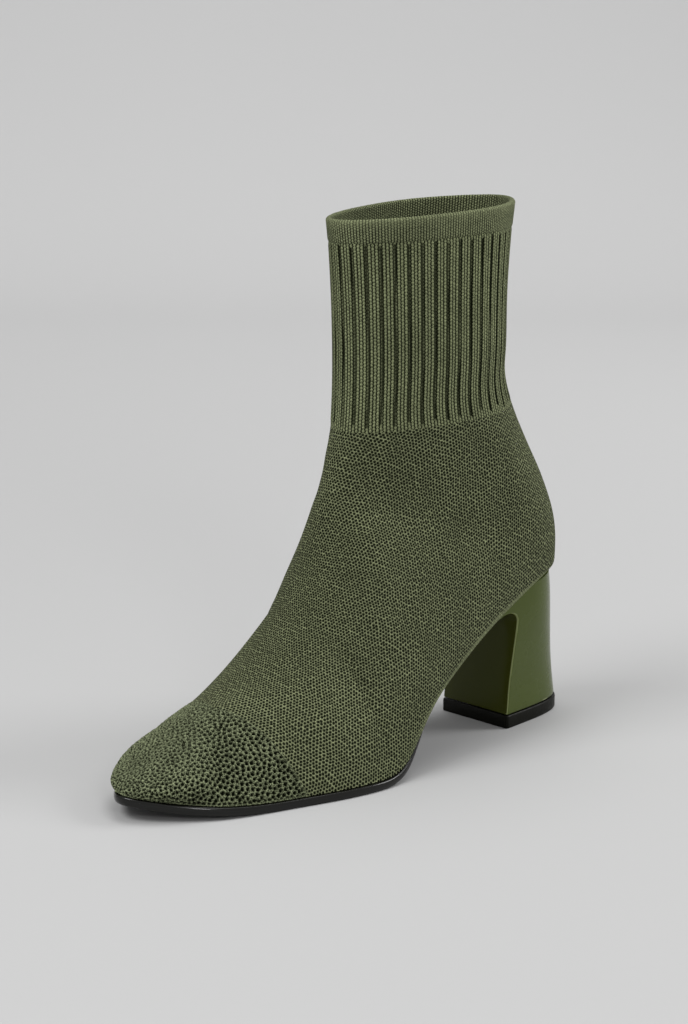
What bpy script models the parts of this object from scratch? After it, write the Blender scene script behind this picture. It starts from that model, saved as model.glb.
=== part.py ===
"""Left sock boot: a knitted upper on a thin outsole, with an insole, a block heel and its rubber tip.

Metres, +Z up. The toe points to -Y and the wearer's left, the outer side, is +X. The boot stands on its
outsole and heel tip at Z = 0, with the origin under the middle of its plan.
"""

from math import pi, radians

import bmesh
import bpy
import numpy as np

# Last
LENGTH = 0.236
BALL_WIDTH = 0.080
HEEL_LIFT = 0.068
TOE_SPRING = 0.0060
INSTEP = 0.072
SHAFT_HEIGHT = 0.088
SHAFT_WIDTH = 0.060

# Knitted upper
WALL = 0.0020
TUCK = 0.0040
TUCK_HEIGHT = 0.0090
TOE_STEP = 0.0005
RIB_COUNT = 40
RIB_CREST = 0.0003
RIB_GROOVE = 0.0006
BAND_DEPTH = 0.0100
BAND_STEP = 0.0006

# Sole unit and insole
SOLE_THICKNESS = 0.0035
WAIST_THICKNESS = 0.0022
SOLE_EDGE = 0.0015
WAIST_INSET = 0.0010
SOLE_ROUND = 0.0008
INSOLE_THICKNESS = 0.0020
INSOLE_ROOM = 0.0012
INSOLE_TOE_ROOM = 0.0050
INSOLE_TOE_SHARE = 0.12

# Heel
HEEL_WIDTH = 0.0395
BREAST_SHARE = 0.828
THROAT_SHARE = 0.775
THROAT_HEIGHT = 0.0048
THROAT_RADIUS = 0.0085
HEEL_BACK = 0.0060
HEEL_TAPER = 0.30
HEEL_HOLLOW = 0.0025
SEAT_INSET = 0.0008
TIP_THICKNESS = 0.0058
TIP_EDGE = 0.0004
HEEL_CHAMFER = 0.0007

CLEARANCE = 0.0003

# Shape of the last, as shares of the sizes above. Rows run from 0 at the toe to 1 at the heel seat
# along the sole, and from there to 2 at the collar up the leg.
RISE_COLUMNS = ("share of length", "share of heel lift")
RISE = np.array((
    (0.24, 0.000),
    (0.34, 0.000),
    (0.40, 0.000),
    (0.48, 0.050),
    (0.56, 0.290),
    (0.66, 0.545),
    (0.76, 0.760),
    (0.87, 0.930),
    (1.00, 1.000),
))
OUTLINE_COLUMNS = ("share of length", "outer half width", "inner half width")
OUTLINE = np.array((
    (0.00, 0.36, 0.35),
    (0.06, 0.51, 0.56),
    (0.14, 0.71, 0.80),
    (0.24, 0.87, 0.96),
    (0.34, 1.01, 0.96),
    (0.42, 1.055, 0.83),
    (0.52, 0.985, 0.68),
    (0.64, 0.855, 0.645),
    (0.76, 0.78, 0.70),
    (0.88, 0.75, 0.75),
    (1.00, 0.75, 0.75),
))
FRONT_COLUMNS = ("row", "run", "heel lift", "instep", "shaft")
FRONT = np.array((
    (0.00, 0.000, 0.00, 0.22, 0.0),
    (0.05, 0.085, 0.00, 0.31, 0.0),
    (0.14, 0.190, 0.00, 0.455, 0.0),
    (0.26, 0.289, 0.00, 0.60, 0.0),
    (0.40, 0.371, 0.10, 0.79, 0.0),
    (0.55, 0.4135, 0.30, 0.87, 0.0),
    (0.70, 0.430, 0.50, 0.885, 0.0),
    (0.86, 0.441, 0.70, 0.86, 0.0),
    (1.00, 0.452, 0.85, 0.82, 0.0),
    (1.09, 0.461, 0.95, 0.81, 0.0),
    (1.18, 0.470, 1.00, 0.845, 0.0),
    (1.28, 0.480, 1.00, 0.915, 0.0),
    (1.38, 0.488, 1.00, 1.00, 0.0),
    (1.69, 0.492, 1.00, 1.00, 0.50),
    (2.00, 0.479, 1.00, 1.00, 0.945),
))
BACK_COLUMNS = ("row", "run", "heel lift", "instep", "shaft", "depth of the round back")
BACK = np.array((
    (1.00, 1.000, 1.00, 0.00, 0.0, 0.225),
    (1.09, 1.000, 1.00, 0.25, 0.0, 0.215),
    (1.18, 0.971, 1.00, 0.51, 0.0, 0.200),
    (1.28, 0.920, 1.00, 0.80, 0.0, 0.195),
    (1.38, 0.870, 1.00, 1.00, 0.09, 0.185),
    (1.53, 0.860, 1.00, 1.00, 0.305, 0.175),
    (1.69, 0.861, 1.00, 1.00, 0.53, 0.170),
    (2.00, 0.878, 1.00, 1.00, 1.01, 0.170),
))
HALF_COLUMNS = ("row", "share of ball", "share of shaft", "ridge to the outer side", "leg's half width at the back")
HALF = np.array((
    (0.00, 0.45, 0.00, -0.100, 0.96),
    (0.05, 0.56, 0.00, -0.125, 0.96),
    (0.14, 0.72, 0.00, -0.150, 0.96),
    (0.26, 0.92, 0.00, -0.150, 0.96),
    (0.40, 0.935, 0.00, -0.125, 0.96),
    (0.55, 0.86, 0.00, -0.075, 0.96),
    (0.70, 0.40, 0.53, -0.025, 0.96),
    (0.86, 0.20, 0.77, 0.000, 0.96),
    (1.00, 0.00, 1.04, 0.000, 0.96),
    (1.18, 0.00, 1.02, 0.000, 0.92),
    (1.38, 0.00, 0.99, 0.000, 0.86),
    (1.69, 0.00, 0.98, 0.000, 0.82),
    (2.00, 0.00, 0.97, 0.000, 0.82),
))
ROUND_TOE = 0.13
BLUNT_TOE = 0.075
SPRING_SHARE = 0.24
TUCK_START = 0.46
TUCK_FULL = 0.60
SEAT_EASE = 0.08

# Where the knit changes, as rows, and how far the toe zone's edge runs back at the sole
TOE_SEAM = 0.160
TOE_SWEEP = 0.110
SWEEP_END = 0.600
SHAFT_START = 1.38
RIB_START = 1.375
STEP_ROWS = 0.004

# Mesh
BODY_COLUMNS = 36
SOLE_STATIONS = 60
STATION_CROWDING = 0.65
DENSE_STATIONS = 600
EDGE_COLUMNS = (0.004, 0.011)
FINE_COLUMNS = 361
ARC_STEPS = 181


def spline(table, column, at):
    """The natural cubic curve through a column of a table, read at the values of its first column."""
    x, y = table[:, 0], column
    step = np.diff(x)
    system = np.eye(len(x))
    target = np.zeros(len(x))
    for i in range(1, len(x) - 1):
        system[i, i - 1 : i + 2] = step[i - 1], 2 * (step[i - 1] + step[i]), step[i]
        target[i] = 6 * ((y[i + 1] - y[i]) / step[i] - (y[i] - y[i - 1]) / step[i - 1])
    bend = np.linalg.solve(system, target)
    at = np.asarray(at, float)
    i = np.clip(np.searchsorted(x, at) - 1, 0, len(x) - 2)
    before, after, h = at - x[i], x[i + 1] - at, step[i]
    curved = (bend[i] * after**3 + bend[i + 1] * before**3) / (6 * h)
    straight = (y[i] / h - bend[i] * h / 6) * after + (y[i + 1] / h - bend[i + 1] * h / 6) * before
    return curved + straight


def smooth(x):
    """0 below 0, 1 above 1 and an S between."""
    x = np.clip(x, 0, 1)
    return x * x * (3 - 2 * x)


def quarter_round(x):
    """A quarter circle's rise, from 0 at 0 to 1 at 1."""
    return np.sqrt(1 - (1 - np.clip(x, 0, 1)) ** 2)


def along(share):
    """Y at a share of the sole's length."""
    return (share - 0.5) * LENGTH


def share_at(y):
    return y / LENGTH + 0.5


def sole_top(share):
    """Height of the outsole's top and the heel's seat: toe spring, a level tread, and the rise to the heel."""
    spring = TOE_SPRING * np.clip(1 - share / SPRING_SHARE, 0, None) ** 2
    rise = np.clip(spline(RISE, RISE[:, 1], share), 0, None)
    rise = np.where(share > RISE[0, 0], rise, 0)
    return SOLE_THICKNESS + spring + rise * (HEEL_LIFT - SOLE_THICKNESS)


def straight_widths(share):
    """Outer and inner half widths of the last's outline, round at the toe and cut off square at the heel."""
    widths = (spline(OUTLINE, OUTLINE[:, k], share) for k in (1, 2))
    return tuple(width * quarter_round(share / ROUND_TOE) * BALL_WIDTH / 2 for width in widths)


def half_widths(share):
    """Outer and inner half widths of the last's outline, round at the toe and the heel."""
    round_back = quarter_round((BACK[0, 1] - share) / BACK[0, 5])
    return tuple(width * round_back for width in straight_widths(share))


def outline_edge(share, side, inward):
    """Plan points of the outline on a side (1 outer, -1 inner), moved inward square to it."""
    step = 1e-6
    ahead, behind = np.clip(share + step, 0, 1), np.clip(share - step, 0, 1)
    k = 0 if side > 0 else 1
    slope = (half_widths(ahead)[k] - half_widths(behind)[k]) / (ahead - behind)
    across = np.where((share > 0) & (share < BACK[0, 1]), LENGTH, 0)
    size = np.hypot(across, slope)
    normal = np.stack([side * across / size, -slope / size], -1)
    point = np.stack([side * half_widths(share)[k], along(share)], -1)
    return point - normal * np.asarray(inward)[..., None], normal


def tuck(share):
    """How far the upper turns in under the last, none at the tread and all of it from the waist back."""
    return TUCK * smooth((share - TUCK_START) / (TUCK_FULL - TUCK_START))


def eased(distance):
    """A distance in rows from the heel seat, held back close to it, so that the form turns softly there."""
    return distance * (1 - np.exp(-((distance / SEAT_EASE) ** 2)))


def low_share(rows):
    """Where a row of the foot meets the sole, as a share of the length."""
    return 1 - eased(np.clip(1 - rows, 0, 1))


def profile_height(table, rows):
    heights = table[:, 2] * HEEL_LIFT + table[:, 3] * INSTEP + table[:, 4] * SHAFT_HEIGHT
    return spline(table, heights, rows)


def rounded_back(rows, y, z):
    """How much of the half width is left at a place, where the heel and the back of the leg are round."""
    fine = np.linspace(1, 2, 200)
    back_z = profile_height(BACK, fine) + CLEARANCE
    back_y = np.interp(z, back_z, along(spline(BACK, BACK[:, 1], fine)))
    depth = np.interp(z, back_z, spline(BACK, BACK[:, 5], fine)) * LENGTH
    return quarter_round((back_y - y) / depth)


def last_sections(rows):
    """The last's surface, a section for each row: part of an ellipse on the plane through the sole or back and
    the front ridge, from the outer feather edge over the ridge to the inner one. Its back is rounded off, so
    the rows up the leg are whole ovals."""
    share = low_share(rows)
    leg = 1 + eased(np.maximum(rows - 1, 0))
    low_y = np.where(rows < 1, along(share), along(spline(BACK, BACK[:, 1], leg)))
    low_z = np.where(rows < 1, sole_top(share), profile_height(BACK, leg)) + CLEARANCE
    blunt = quarter_round(share / BLUNT_TOE)
    high_y = low_y + (along(spline(FRONT, FRONT[:, 1], rows)) - low_y) * blunt
    high_z = low_z + (profile_height(FRONT, rows) - low_z) * blunt
    ball, shaft, lean, base = (spline(HALF, HALF[:, k], rows) for k in (1, 2, 3, 4))
    widest = (ball * BALL_WIDTH + shaft * SHAFT_WIDTH) / 2 * blunt
    outer, inner = straight_widths(share)
    level = smooth((rows - 1) / 0.18)
    foot_base = np.minimum((outer + inner) / 2, np.where(rows < 1, np.inf, widest * 0.999))
    base = foot_base + (widest * base - foot_base) * level
    base_x = (outer - inner) / 2 * (1 - level)
    widest = np.maximum(widest, base + 1e-9)

    start = np.arcsin(np.minimum(base / widest, 1))[:, None]
    turn = start + (pi - start) * np.linspace(0, 1, ARC_STEPS)
    up = (np.cos(start) - np.cos(turn)) / (1 + np.cos(start))
    middle = base_x[:, None] + (lean * BALL_WIDTH / 2 - base_x)[:, None] * up
    y = low_y[:, None] + (high_y - low_y)[:, None] * up
    z = low_z[:, None] + (high_z - low_z)[:, None] * up
    left = rounded_back(rows, y, z)
    left[rows >= 1, 0] = 0
    half = widest[:, None] * np.sin(turn) * left
    near = np.stack([middle * left + half, y, z], -1)
    far = np.stack([middle * left - half, y, z], -1)[:, ::-1]
    return np.concatenate([near, far[:, 1:]], axis=1)


def even_sections(rows, shares):
    """Points of each section at shares of its girth, with the edge turned under, and the girth up to each."""
    points, girths = [], []
    for section in last_sections(rows):
        girth = np.r_[0, np.cumsum(np.linalg.norm(np.diff(section, axis=0), axis=1))]
        at = shares * girth[-1]
        points.append(np.stack([np.interp(at, girth, section[:, k]) for k in range(3)], -1))
        girths.append(np.minimum(at, girth[-1] - at))
    points, girths = np.array(points), np.array(girths)
    share = low_share(rows)
    lift = np.maximum(points[:, :1, 2] - HEEL_LIFT - CLEARANCE, 0) * (rows[:, None] > 1)
    turned = tuck(share)[:, None] * (1 - quarter_round((girths + lift) / TUCK_HEIGHT))
    for side, columns in ((1, shares < 0.5), (-1, shares >= 0.5)):
        normal = outline_edge(share, side, 0)[1][:, None]
        before = sole_top(share_at(points[:, columns, 1]))
        points[:, columns, :2] -= normal * turned[:, columns, None]
        points[:, columns, 2] += sole_top(share_at(points[:, columns, 1])) - before
    return points


def normals(points, closed):
    """Unit normals of a grid of points, out of the boot, and straight forward at the toe's pole. The closed rows
    meet at their ends."""
    across = np.gradient(points, axis=1)
    across[closed, 0] = across[closed, -1] = (points[closed, 1] - points[closed, -2]) / 2
    up = np.gradient(points, axis=0)
    found = np.cross(up, across)
    size = np.linalg.norm(found, axis=-1, keepdims=True)
    found = found / np.maximum(size, 1e-15)
    found[0] = (0, -1, 0)
    return found


class Upper:
    """The outer surface of the upper without its relief, read at any row and share of the girth."""

    def __init__(self):
        even = np.linspace(0, 1, 160)
        foot = (1 - np.cos(pi * even)) / 2
        leg = 1 + np.linspace(0, 1, 160)[1:] ** 1.5
        self.rows = np.r_[foot, leg]
        self.points = even_sections(self.rows, np.linspace(0, 1, FINE_COLUMNS))
        self.normals = normals(self.points, self.rows >= 1)

    def read(self, grid, rows, shares):
        i = np.interp(rows, self.rows, np.arange(len(self.rows)))
        j = shares * (FINE_COLUMNS - 1)
        i0, j0 = np.minimum(i.astype(int), len(self.rows) - 2), np.minimum(j.astype(int), FINE_COLUMNS - 2)
        a, b = (i - i0)[..., None], (j - j0)[..., None]
        low = grid[i0, j0] * (1 - b) + grid[i0, j0 + 1] * b
        high = grid[i0 + 1, j0] * (1 - b) + grid[i0 + 1, j0 + 1] * b
        return low * (1 - a) + high * a

    def at(self, rows, shares, out):
        """Points moved out square to the surface."""
        rows, shares = np.broadcast_arrays(rows, shares)
        normal = self.read(self.normals, rows, shares)
        normal = normal / np.linalg.norm(normal, axis=-1, keepdims=True)
        return self.read(self.points, rows, shares) + normal * np.asarray(out)[..., None]


def swept(row, shares):
    """Rows that bend back towards the sole with the edge of the toe zone, and straighten before the instep."""
    before = row / TOE_SEAM
    after = np.clip((SWEEP_END - row) / (SWEEP_END - TOE_SEAM), 0, 1) ** 2
    return row + TOE_SWEEP * min(before, after) * np.abs(2 * shares - 1) ** 1.3


class Mesh:
    """Vertices and faces of one solid as they are added."""

    def __init__(self):
        self.points = []
        self.faces = []

    def ring(self, points):
        first = len(self.points)
        self.points.extend(points)
        return list(range(first, len(self.points)))

    def between(self, first, first_shares, second, second_shares):
        """Faces between two rings, in step with their shares: quads where the shares agree."""
        i = j = 0
        while i < len(first) - 1 or j < len(second) - 1:
            next_first = first_shares[i + 1] if i < len(first) - 1 else 9
            next_second = second_shares[j + 1] if j < len(second) - 1 else 9
            if abs(next_first - next_second) < 1e-6:
                self.faces.append((first[i], first[i + 1], second[j + 1], second[j]))
                i, j = i + 1, j + 1
            elif next_first < next_second:
                self.faces.append((first[i], first[i + 1], second[j]))
                i += 1
            else:
                self.faces.append((first[i], second[j + 1], second[j]))
                j += 1

    def rungs(self, ring):
        """Closes a ring with faces across it, from each point to its pair on the other side."""
        half = len(ring) // 2
        for i in range(half - 1):
            self.faces.append((ring[i], ring[i + 1], ring[-2 - i], ring[-1 - i]))

    def stack(self, rings):
        """A solid of rings laid over each other, each a front-to-back line and its pair back to the front."""
        laid = [self.ring(ring) for ring in rings]
        for low, high in zip(laid, laid[1:]):
            steps = np.arange(len(low) + 1)
            self.between(low + low[:1], steps, high + high[:1], steps)
        self.rungs(laid[0])
        self.rungs(laid[-1])


def add_object(name, mesh, material, collection):
    """A welded, outward-facing, smooth object."""
    data = bpy.data.meshes.new(name)
    data.from_pydata([tuple(point) for point in mesh.points], [], mesh.faces)
    shape = bmesh.new()
    shape.from_mesh(data)
    bmesh.ops.remove_doubles(shape, verts=shape.verts, dist=1e-6)
    bmesh.ops.dissolve_degenerate(shape, edges=shape.edges, dist=1e-7)
    bmesh.ops.recalc_face_normals(shape, faces=shape.faces)
    shape.to_mesh(data)
    shape.free()
    data.shade_smooth()
    data.set_sharp_from_angle(angle=radians(40))
    data.materials.append(material)
    obj = bpy.data.objects.new(name, data)
    collection.objects.link(obj)
    return obj


def add_material(name, colour, roughness, coat=0.0):
    material = bpy.data.materials.new(name)
    material.use_nodes = True
    shader = material.node_tree.nodes["Principled BSDF"]
    shader.inputs["Base Color"].default_value = (*colour, 1)
    shader.inputs["Roughness"].default_value = roughness
    shader.inputs["Metallic"].default_value = 0
    shader.inputs["Coat Weight"].default_value = coat
    material.diffuse_color = (*colour, 1)
    return material


def rib_relief(columns):
    """Out and in of the ribs round the shaft: a groove and two crests for each rib."""
    return np.where(np.arange(columns) % 3 == 0, -RIB_GROOVE, RIB_CREST)


def off_edge(shares):
    """1 on the wall and 0 on its feather edges, which stay level with the sole."""
    return np.where((shares > 0) & (shares < 1), 1, 0)


def upper_mesh():
    """Outer wall from the toe to the collar, a round lip, and the inner wall back down to the toe."""
    form = Upper()
    mesh = Mesh()
    body = np.linspace(0, 1, BODY_COLUMNS + 1)
    body = np.sort(np.r_[body, EDGE_COLUMNS, 1 - np.array(EDGE_COLUMNS)])
    ribbed = np.linspace(0, 1, 3 * RIB_COUNT + 1)
    band = np.linspace(0, 1, BODY_COLUMNS + 1)
    band_start = 2 - BAND_DEPTH / SHAFT_HEIGHT * (2 - SHAFT_START)

    toe = TOE_SEAM * np.linspace(0, 1, 9) ** 1.8
    foot = np.r_[toe[:-1], TOE_SEAM - STEP_ROWS / 2, TOE_SEAM + STEP_ROWS / 2]
    foot = np.r_[foot, np.linspace(TOE_SEAM, 0.86, 21)[1:], np.linspace(0.86, 1, 8)[1:]]
    tucked = 1 + 0.065 * np.linspace(0, 1, 4)[1:]
    ankle = np.linspace(1.10, RIB_START, 9)
    shaft = np.r_[RIB_START + 0.02, np.linspace(RIB_START + 0.10, band_start - 0.08, 2), band_start - 0.012]
    folded = np.r_[band_start + STEP_ROWS, 1.96, 2.0]

    rings = []
    for row in np.r_[foot, tucked, ankle]:
        rows = swept(row, body) if row < 1 else np.full(len(body), row)
        step = TOE_STEP * smooth(row / 0.02) if row < TOE_SEAM else 0
        rings.append((body, form.at(rows, body, step * off_edge(body))))
    for row in shaft:
        rings.append((ribbed, form.at(row, ribbed, rib_relief(len(ribbed)))))
    for row in folded:
        rings.append((band, form.at(row, band, np.full(len(band), BAND_STEP))))
    lip = (WALL + BAND_STEP) / 2
    for turn in np.radians((45, 90, 135)):
        points = form.at(2.0, band, np.full(len(band), BAND_STEP - lip + lip * np.cos(turn)))
        points[:, 2] += lip * np.sin(turn)
        rings.append((band, points))
    for row in np.r_[2.0, 1.85, 1.69, 1.53, ankle[::-1], tucked[::-1], foot[::-1]]:
        if TOE_SEAM < row < TOE_SEAM + STEP_ROWS:
            continue
        rows = swept(row, band) if row < 1 else np.full(len(band), row)
        points = form.at(rows, band, np.full(len(band), -WALL))
        if row <= 1:
            for k, side in ((0, 1), (-1, -1)):
                share = low_share(rows[[k]])
                points[k, :2] = outline_edge(share, side, tuck(share) + WALL)[0][0]
                points[k, 2] = sole_top(share_at(points[k, 1])) + CLEARANCE
        rings.append((band, points))

    laid = [(shares, mesh.ring(points)) for shares, points in rings]
    for (low_shares, low), (high_shares, high) in zip(laid, laid[1:]):
        mesh.between(low, low_shares, high, high_shares)
    outer_edges = laid[: len(foot)]
    inner_edges = [laid[-1 - i] for i in range(len(foot) - 1)]
    outer_rows = foot
    inner_rows = np.array([row for row in foot if not TOE_SEAM < row < TOE_SEAM + STEP_ROWS])
    for k in (0, -1):
        mesh.between([ring[k] for _, ring in outer_edges], outer_rows, [ring[k] for _, ring in inner_edges], inner_rows)
    return mesh


def stations(count):
    """Shares of the length, close together where the outline is round at its ends."""
    even = np.linspace(0, 1, count)
    return even - STATION_CROWDING * np.sin(2 * pi * even) / (2 * pi)


def paired_ring(y, inward, height):
    """A closed line round the moved outline at these places along it, the outer side first. The places are the
    same for every piece, so that the pieces run level with each other."""
    share = stations(DENSE_STATIONS)
    sides = []
    for side in (1, -1):
        plan = outline_edge(share, side, inward(share))[0]
        reach = np.clip(y, plan[0, 1], plan[-1, 1])
        x = np.interp(reach, plan[:, 1], plan[:, 0])
        sides.append(np.column_stack([x, reach, height(share_at(reach))]))
    return np.concatenate([sides[0], sides[1][::-1]])


def sole_inset(share):
    """The outsole stands out from the upper round the forefoot and slips under it at the waist."""
    blend = smooth((share - 0.40) / 0.22)
    return tuck(share) + WAIST_INSET * blend - SOLE_EDGE * (1 - blend)


def sole_thickness(share):
    return SOLE_THICKNESS + (WAIST_THICKNESS - SOLE_THICKNESS) * smooth((share - 0.44) / 0.2)


def outsole_mesh():
    """The unit sole from the toe to the heel's throat, level under the tread, its edge rounded."""
    mesh = Mesh()
    share = stations(SOLE_STATIONS)
    ahead = -SOLE_EDGE / LENGTH * (1 - np.linspace(0, 1, 6)[:-1] ** 2)
    end = along(THROAT_SHARE) - CLEARANCE
    y = np.r_[along(np.r_[ahead, share[share < THROAT_SHARE - 0.01]]), end]
    rings = []
    for down, inset in ((1, 1), (0.72, 0.15), (0.45, 0), (0.2, 0.2), (0, 0.8)):
        rings.append(paired_ring(
            y,
            lambda at, inset=inset: sole_inset(at) + inset * SOLE_ROUND,
            lambda at, down=down: sole_top(at) - down * sole_thickness(at),
        ))
    mesh.stack(rings)
    return mesh


def insole_inset(share):
    """The board stays inside the wall, and stops short of the low toe."""
    toe_room = INSOLE_TOE_ROOM * (1 - smooth(share / INSOLE_TOE_SHARE))
    return tuck(share) + WALL + INSOLE_ROOM + toe_room


def insole_mesh():
    """The board that the foot stands on, inside the wall and along the whole sole."""
    mesh = Mesh()
    y = along(stations(SOLE_STATIONS))
    rings = []
    for up, inset in ((0, 0.5), (0.3, 0), (0.7, 0), (1, 0.5)):
        rings.append(paired_ring(
            y,
            lambda at, inset=inset: insole_inset(at) + inset * INSOLE_THICKNESS / 2,
            lambda at, up=up: sole_top(at) + CLEARANCE + up * INSOLE_THICKNESS,
        ))
    mesh.stack(rings)
    return mesh


def heel_half(y, back_y):
    """Half width of the block at a place along it, a tapered D."""
    front_y = along(BREAST_SHARE)
    reach = (y - front_y) / (back_y - front_y)
    return HEEL_WIDTH / 2 * (1 - HEEL_TAPER * reach) * np.sqrt(1 - np.clip(reach, 0, 1) ** 5)


def heel_ring(level, inset):
    """The block's outline at a level, 0 on the tip and 1 at the seat."""
    fore = 1 - (1 - np.linspace(0, 1, 15)) ** 2
    seat_back = along(1) - TUCK - SEAT_INSET
    back_low, back_high = along(1) + HEEL_BACK, seat_back
    back_y = back_low + (back_high - back_low) * level
    low = TIP_THICKNESS + CLEARANCE
    top = sole_top(np.array([THROAT_SHARE]))[0]
    under = (top - THROAT_HEIGHT - low) / (top - low)
    curl = np.clip((level - (under - THROAT_RADIUS / top)) / (THROAT_RADIUS / top), 0, 1)
    front_y = along(BREAST_SHARE) + HEEL_HOLLOW * np.sin(pi * min(level / under, 1) * 0.6)
    front_y = front_y + (along(THROAT_SHARE) - front_y) * (1 - np.sqrt(1 - curl**2))
    y = front_y + inset + (back_y - inset - front_y - inset) * fore
    flare = smooth((level - 0.45) / 0.55) ** 1.5
    rings = []
    for side in (1, -1):
        block = heel_half(y, back_y - inset) - inset
        share = np.clip(share_at(y), 0, 1)
        k = 0 if side > 0 else 1
        reach = np.clip((y - along(0.75)) / (back_y - inset - along(0.75)), 0, 1)
        cup = (half_widths(np.full(len(y), 0.80))[k] - TUCK - SEAT_INSET) * np.sqrt(1 - reach**4)
        x = np.maximum(block + (cup - block) * flare, 0)
        x[-1] = 0
        z = low + (sole_top(share) - low) * level
        rings.append(np.column_stack([side * x, y, z]))
    return np.concatenate([rings[0], rings[1][::-1]])


def heel_mesh():
    mesh = Mesh()
    levels = np.r_[0, 0.015, 0.12, 0.3, 0.5, 0.65, 0.74, 0.79, 0.83, 0.86, 0.885, 0.9, 0.915, 0.95, 1]
    rings = [heel_ring(level, HEEL_CHAMFER * (level == 0)) for level in levels]
    mesh.stack(rings)
    return mesh


def tip_mesh():
    """The rubber tip, the block's lowest outline carried to the floor."""
    mesh = Mesh()
    rings = []
    for up, inset in ((0, 0.6), (0.12, 0), (0.88, 0), (1, 0.6)):
        ring = heel_ring(0.0, HEEL_CHAMFER * inset - TIP_EDGE)
        ring[:, 2] = up * TIP_THICKNESS
        rings.append(ring)
    mesh.stack(rings)
    return mesh


def centre_on_floor(objects):
    """Moves every mesh so that the boot's plan is centred on the origin and it stands at Z = 0."""
    corners = np.array([vertex.co[:] for obj in objects for vertex in obj.data.vertices])
    low, high = corners.min(axis=0), corners.max(axis=0)
    shift = (-(low[0] + high[0]) / 2, -(low[1] + high[1]) / 2, -low[2])
    for obj in objects:
        for vertex in obj.data.vertices:
            vertex.co = [value + move for value, move in zip(vertex.co, shift)]


def clear_scene():
    for obj in list(bpy.data.objects):
        bpy.data.objects.remove(obj, do_unlink=True)


def build():
    clear_scene()
    collection = bpy.data.collections.new("sock_boot")
    bpy.context.scene.collection.children.link(collection)
    knit = add_material("olive knit", (0.060, 0.068, 0.045), 0.85)
    rubber = add_material("black rubber", (0.012, 0.012, 0.012), 0.40)
    board = add_material("covered board", (0.045, 0.047, 0.036), 0.70)
    lacquer = add_material("olive lacquer", (0.060, 0.075, 0.028), 0.18, coat=0.5)
    pieces = (
        ("upper", upper_mesh, knit),
        ("outsole", outsole_mesh, rubber),
        ("insole", insole_mesh, board),
        ("heel", heel_mesh, lacquer),
        ("heel_tip", tip_mesh, rubber),
    )
    objects = [add_object(name, make(), material, collection) for name, make, material in pieces]
    centre_on_floor(objects)


build()
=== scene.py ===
"""Looks of the left sock boot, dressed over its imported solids.

The knitted upper is one surface, worked out here from the same last as the solids. Rows run from 0 at the
toe to 1 at the heel seat along the sole, and from there to 2 at the collar up the leg. Shares of the girth
run from the outer feather edge, or the back seam, over the front ridge to the inner one. Metres, the toe to
-Y, the outer side to +X.
"""

from math import cos, pi, radians, sin

import bmesh
import bpy
import numpy as np
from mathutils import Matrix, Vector
from mathutils.kdtree import KDTree


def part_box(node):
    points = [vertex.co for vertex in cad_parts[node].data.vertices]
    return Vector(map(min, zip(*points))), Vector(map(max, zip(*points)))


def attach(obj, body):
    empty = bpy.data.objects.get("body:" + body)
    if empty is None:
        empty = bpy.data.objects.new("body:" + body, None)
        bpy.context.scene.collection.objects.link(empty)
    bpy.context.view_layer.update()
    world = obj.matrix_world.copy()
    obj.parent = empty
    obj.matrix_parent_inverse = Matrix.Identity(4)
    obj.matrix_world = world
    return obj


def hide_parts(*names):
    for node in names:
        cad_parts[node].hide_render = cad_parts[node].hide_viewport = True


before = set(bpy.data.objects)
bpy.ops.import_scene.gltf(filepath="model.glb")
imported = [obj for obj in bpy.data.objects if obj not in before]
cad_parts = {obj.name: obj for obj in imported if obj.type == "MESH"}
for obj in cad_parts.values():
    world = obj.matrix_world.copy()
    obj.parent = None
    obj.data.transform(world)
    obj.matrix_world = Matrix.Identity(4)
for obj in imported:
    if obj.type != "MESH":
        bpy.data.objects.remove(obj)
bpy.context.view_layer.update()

# Last, as in the solids
LENGTH = 0.236
BALL_WIDTH = 0.080
HEEL_LIFT = 0.068
TOE_SPRING = 0.0060
INSTEP = 0.072
SHAFT_HEIGHT = 0.088
SHAFT_WIDTH = 0.060

# Knitted upper
WALL = 0.0020
TUCK = 0.0040
TUCK_HEIGHT = 0.0090
TOE_STEP = 0.0005
RIB_COUNT = 40
BAND_DEPTH = 0.0100
BAND_STEP = 0.0006

# Sole unit
SOLE_THICKNESS = 0.0035
WAIST_THICKNESS = 0.0022
SOLE_EDGE = 0.0015
WAIST_INSET = 0.0010
SOLE_ROUND = 0.0008
SLIP_START = 0.40
SLIP_RUN = 0.22
THIN_START = 0.44
THIN_RUN = 0.20
SOLE_PROFILE = (
    # depth as a share of the thickness, inset as a share of the round
    (1, 1.0),
    (0.93, 0.55),
    (0.82, 0.25),
    (0.66, 0.05),
    (0.48, 0),
    (0.30, 0.05),
    (0.14, 0.25),
    (0.04, 0.55),
    (0, 1.0),
)

# Heel, with levels from 0 on the tip to 1 at the seat
HEEL_WIDTH = 0.0395
BREAST_SHARE = 0.828
THROAT_SHARE = 0.775
THROAT_HEIGHT = 0.0037
THROAT_RADIUS = 0.0085
HEEL_BACK = 0.0060
HEEL_TAPER = 0.30
HEEL_HOLLOW = 0.0025
SEAT_INSET = 0.0008
TIP_THICKNESS = 0.0058
TIP_EDGE = 0.0004
HEEL_CHAMFER = 0.0007
EDGE_ROUND = 0.0011
EDGE_LEVEL = 0.015
PLAN_POWER = 5
CUP_START = 0.75
CUP_WIDEST = 0.80
FLARE_START = 0.15
FLARE_FRONT = 0.55
FLARE_REACH = 0.8
HOLLOW_TURN = 0.6 * pi
# Faces that look forward or down get painted colour: painted shade on the breast, a painted highlight on its
# edge
BREAST_FACING = -0.25
BREAST_ACROSS = 0.30
EDGE_ACROSS = 0.94
TIP_PROFILE = (
    # height as a share of the thickness, inset as a share of the chamfer
    (0, 0.6),
    (0.04, 0.25),
    (0.12, 0),
    (0.5, 0),
    (0.88, 0),
    (0.96, 0.25),
    (1, 0.6),
)

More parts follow.
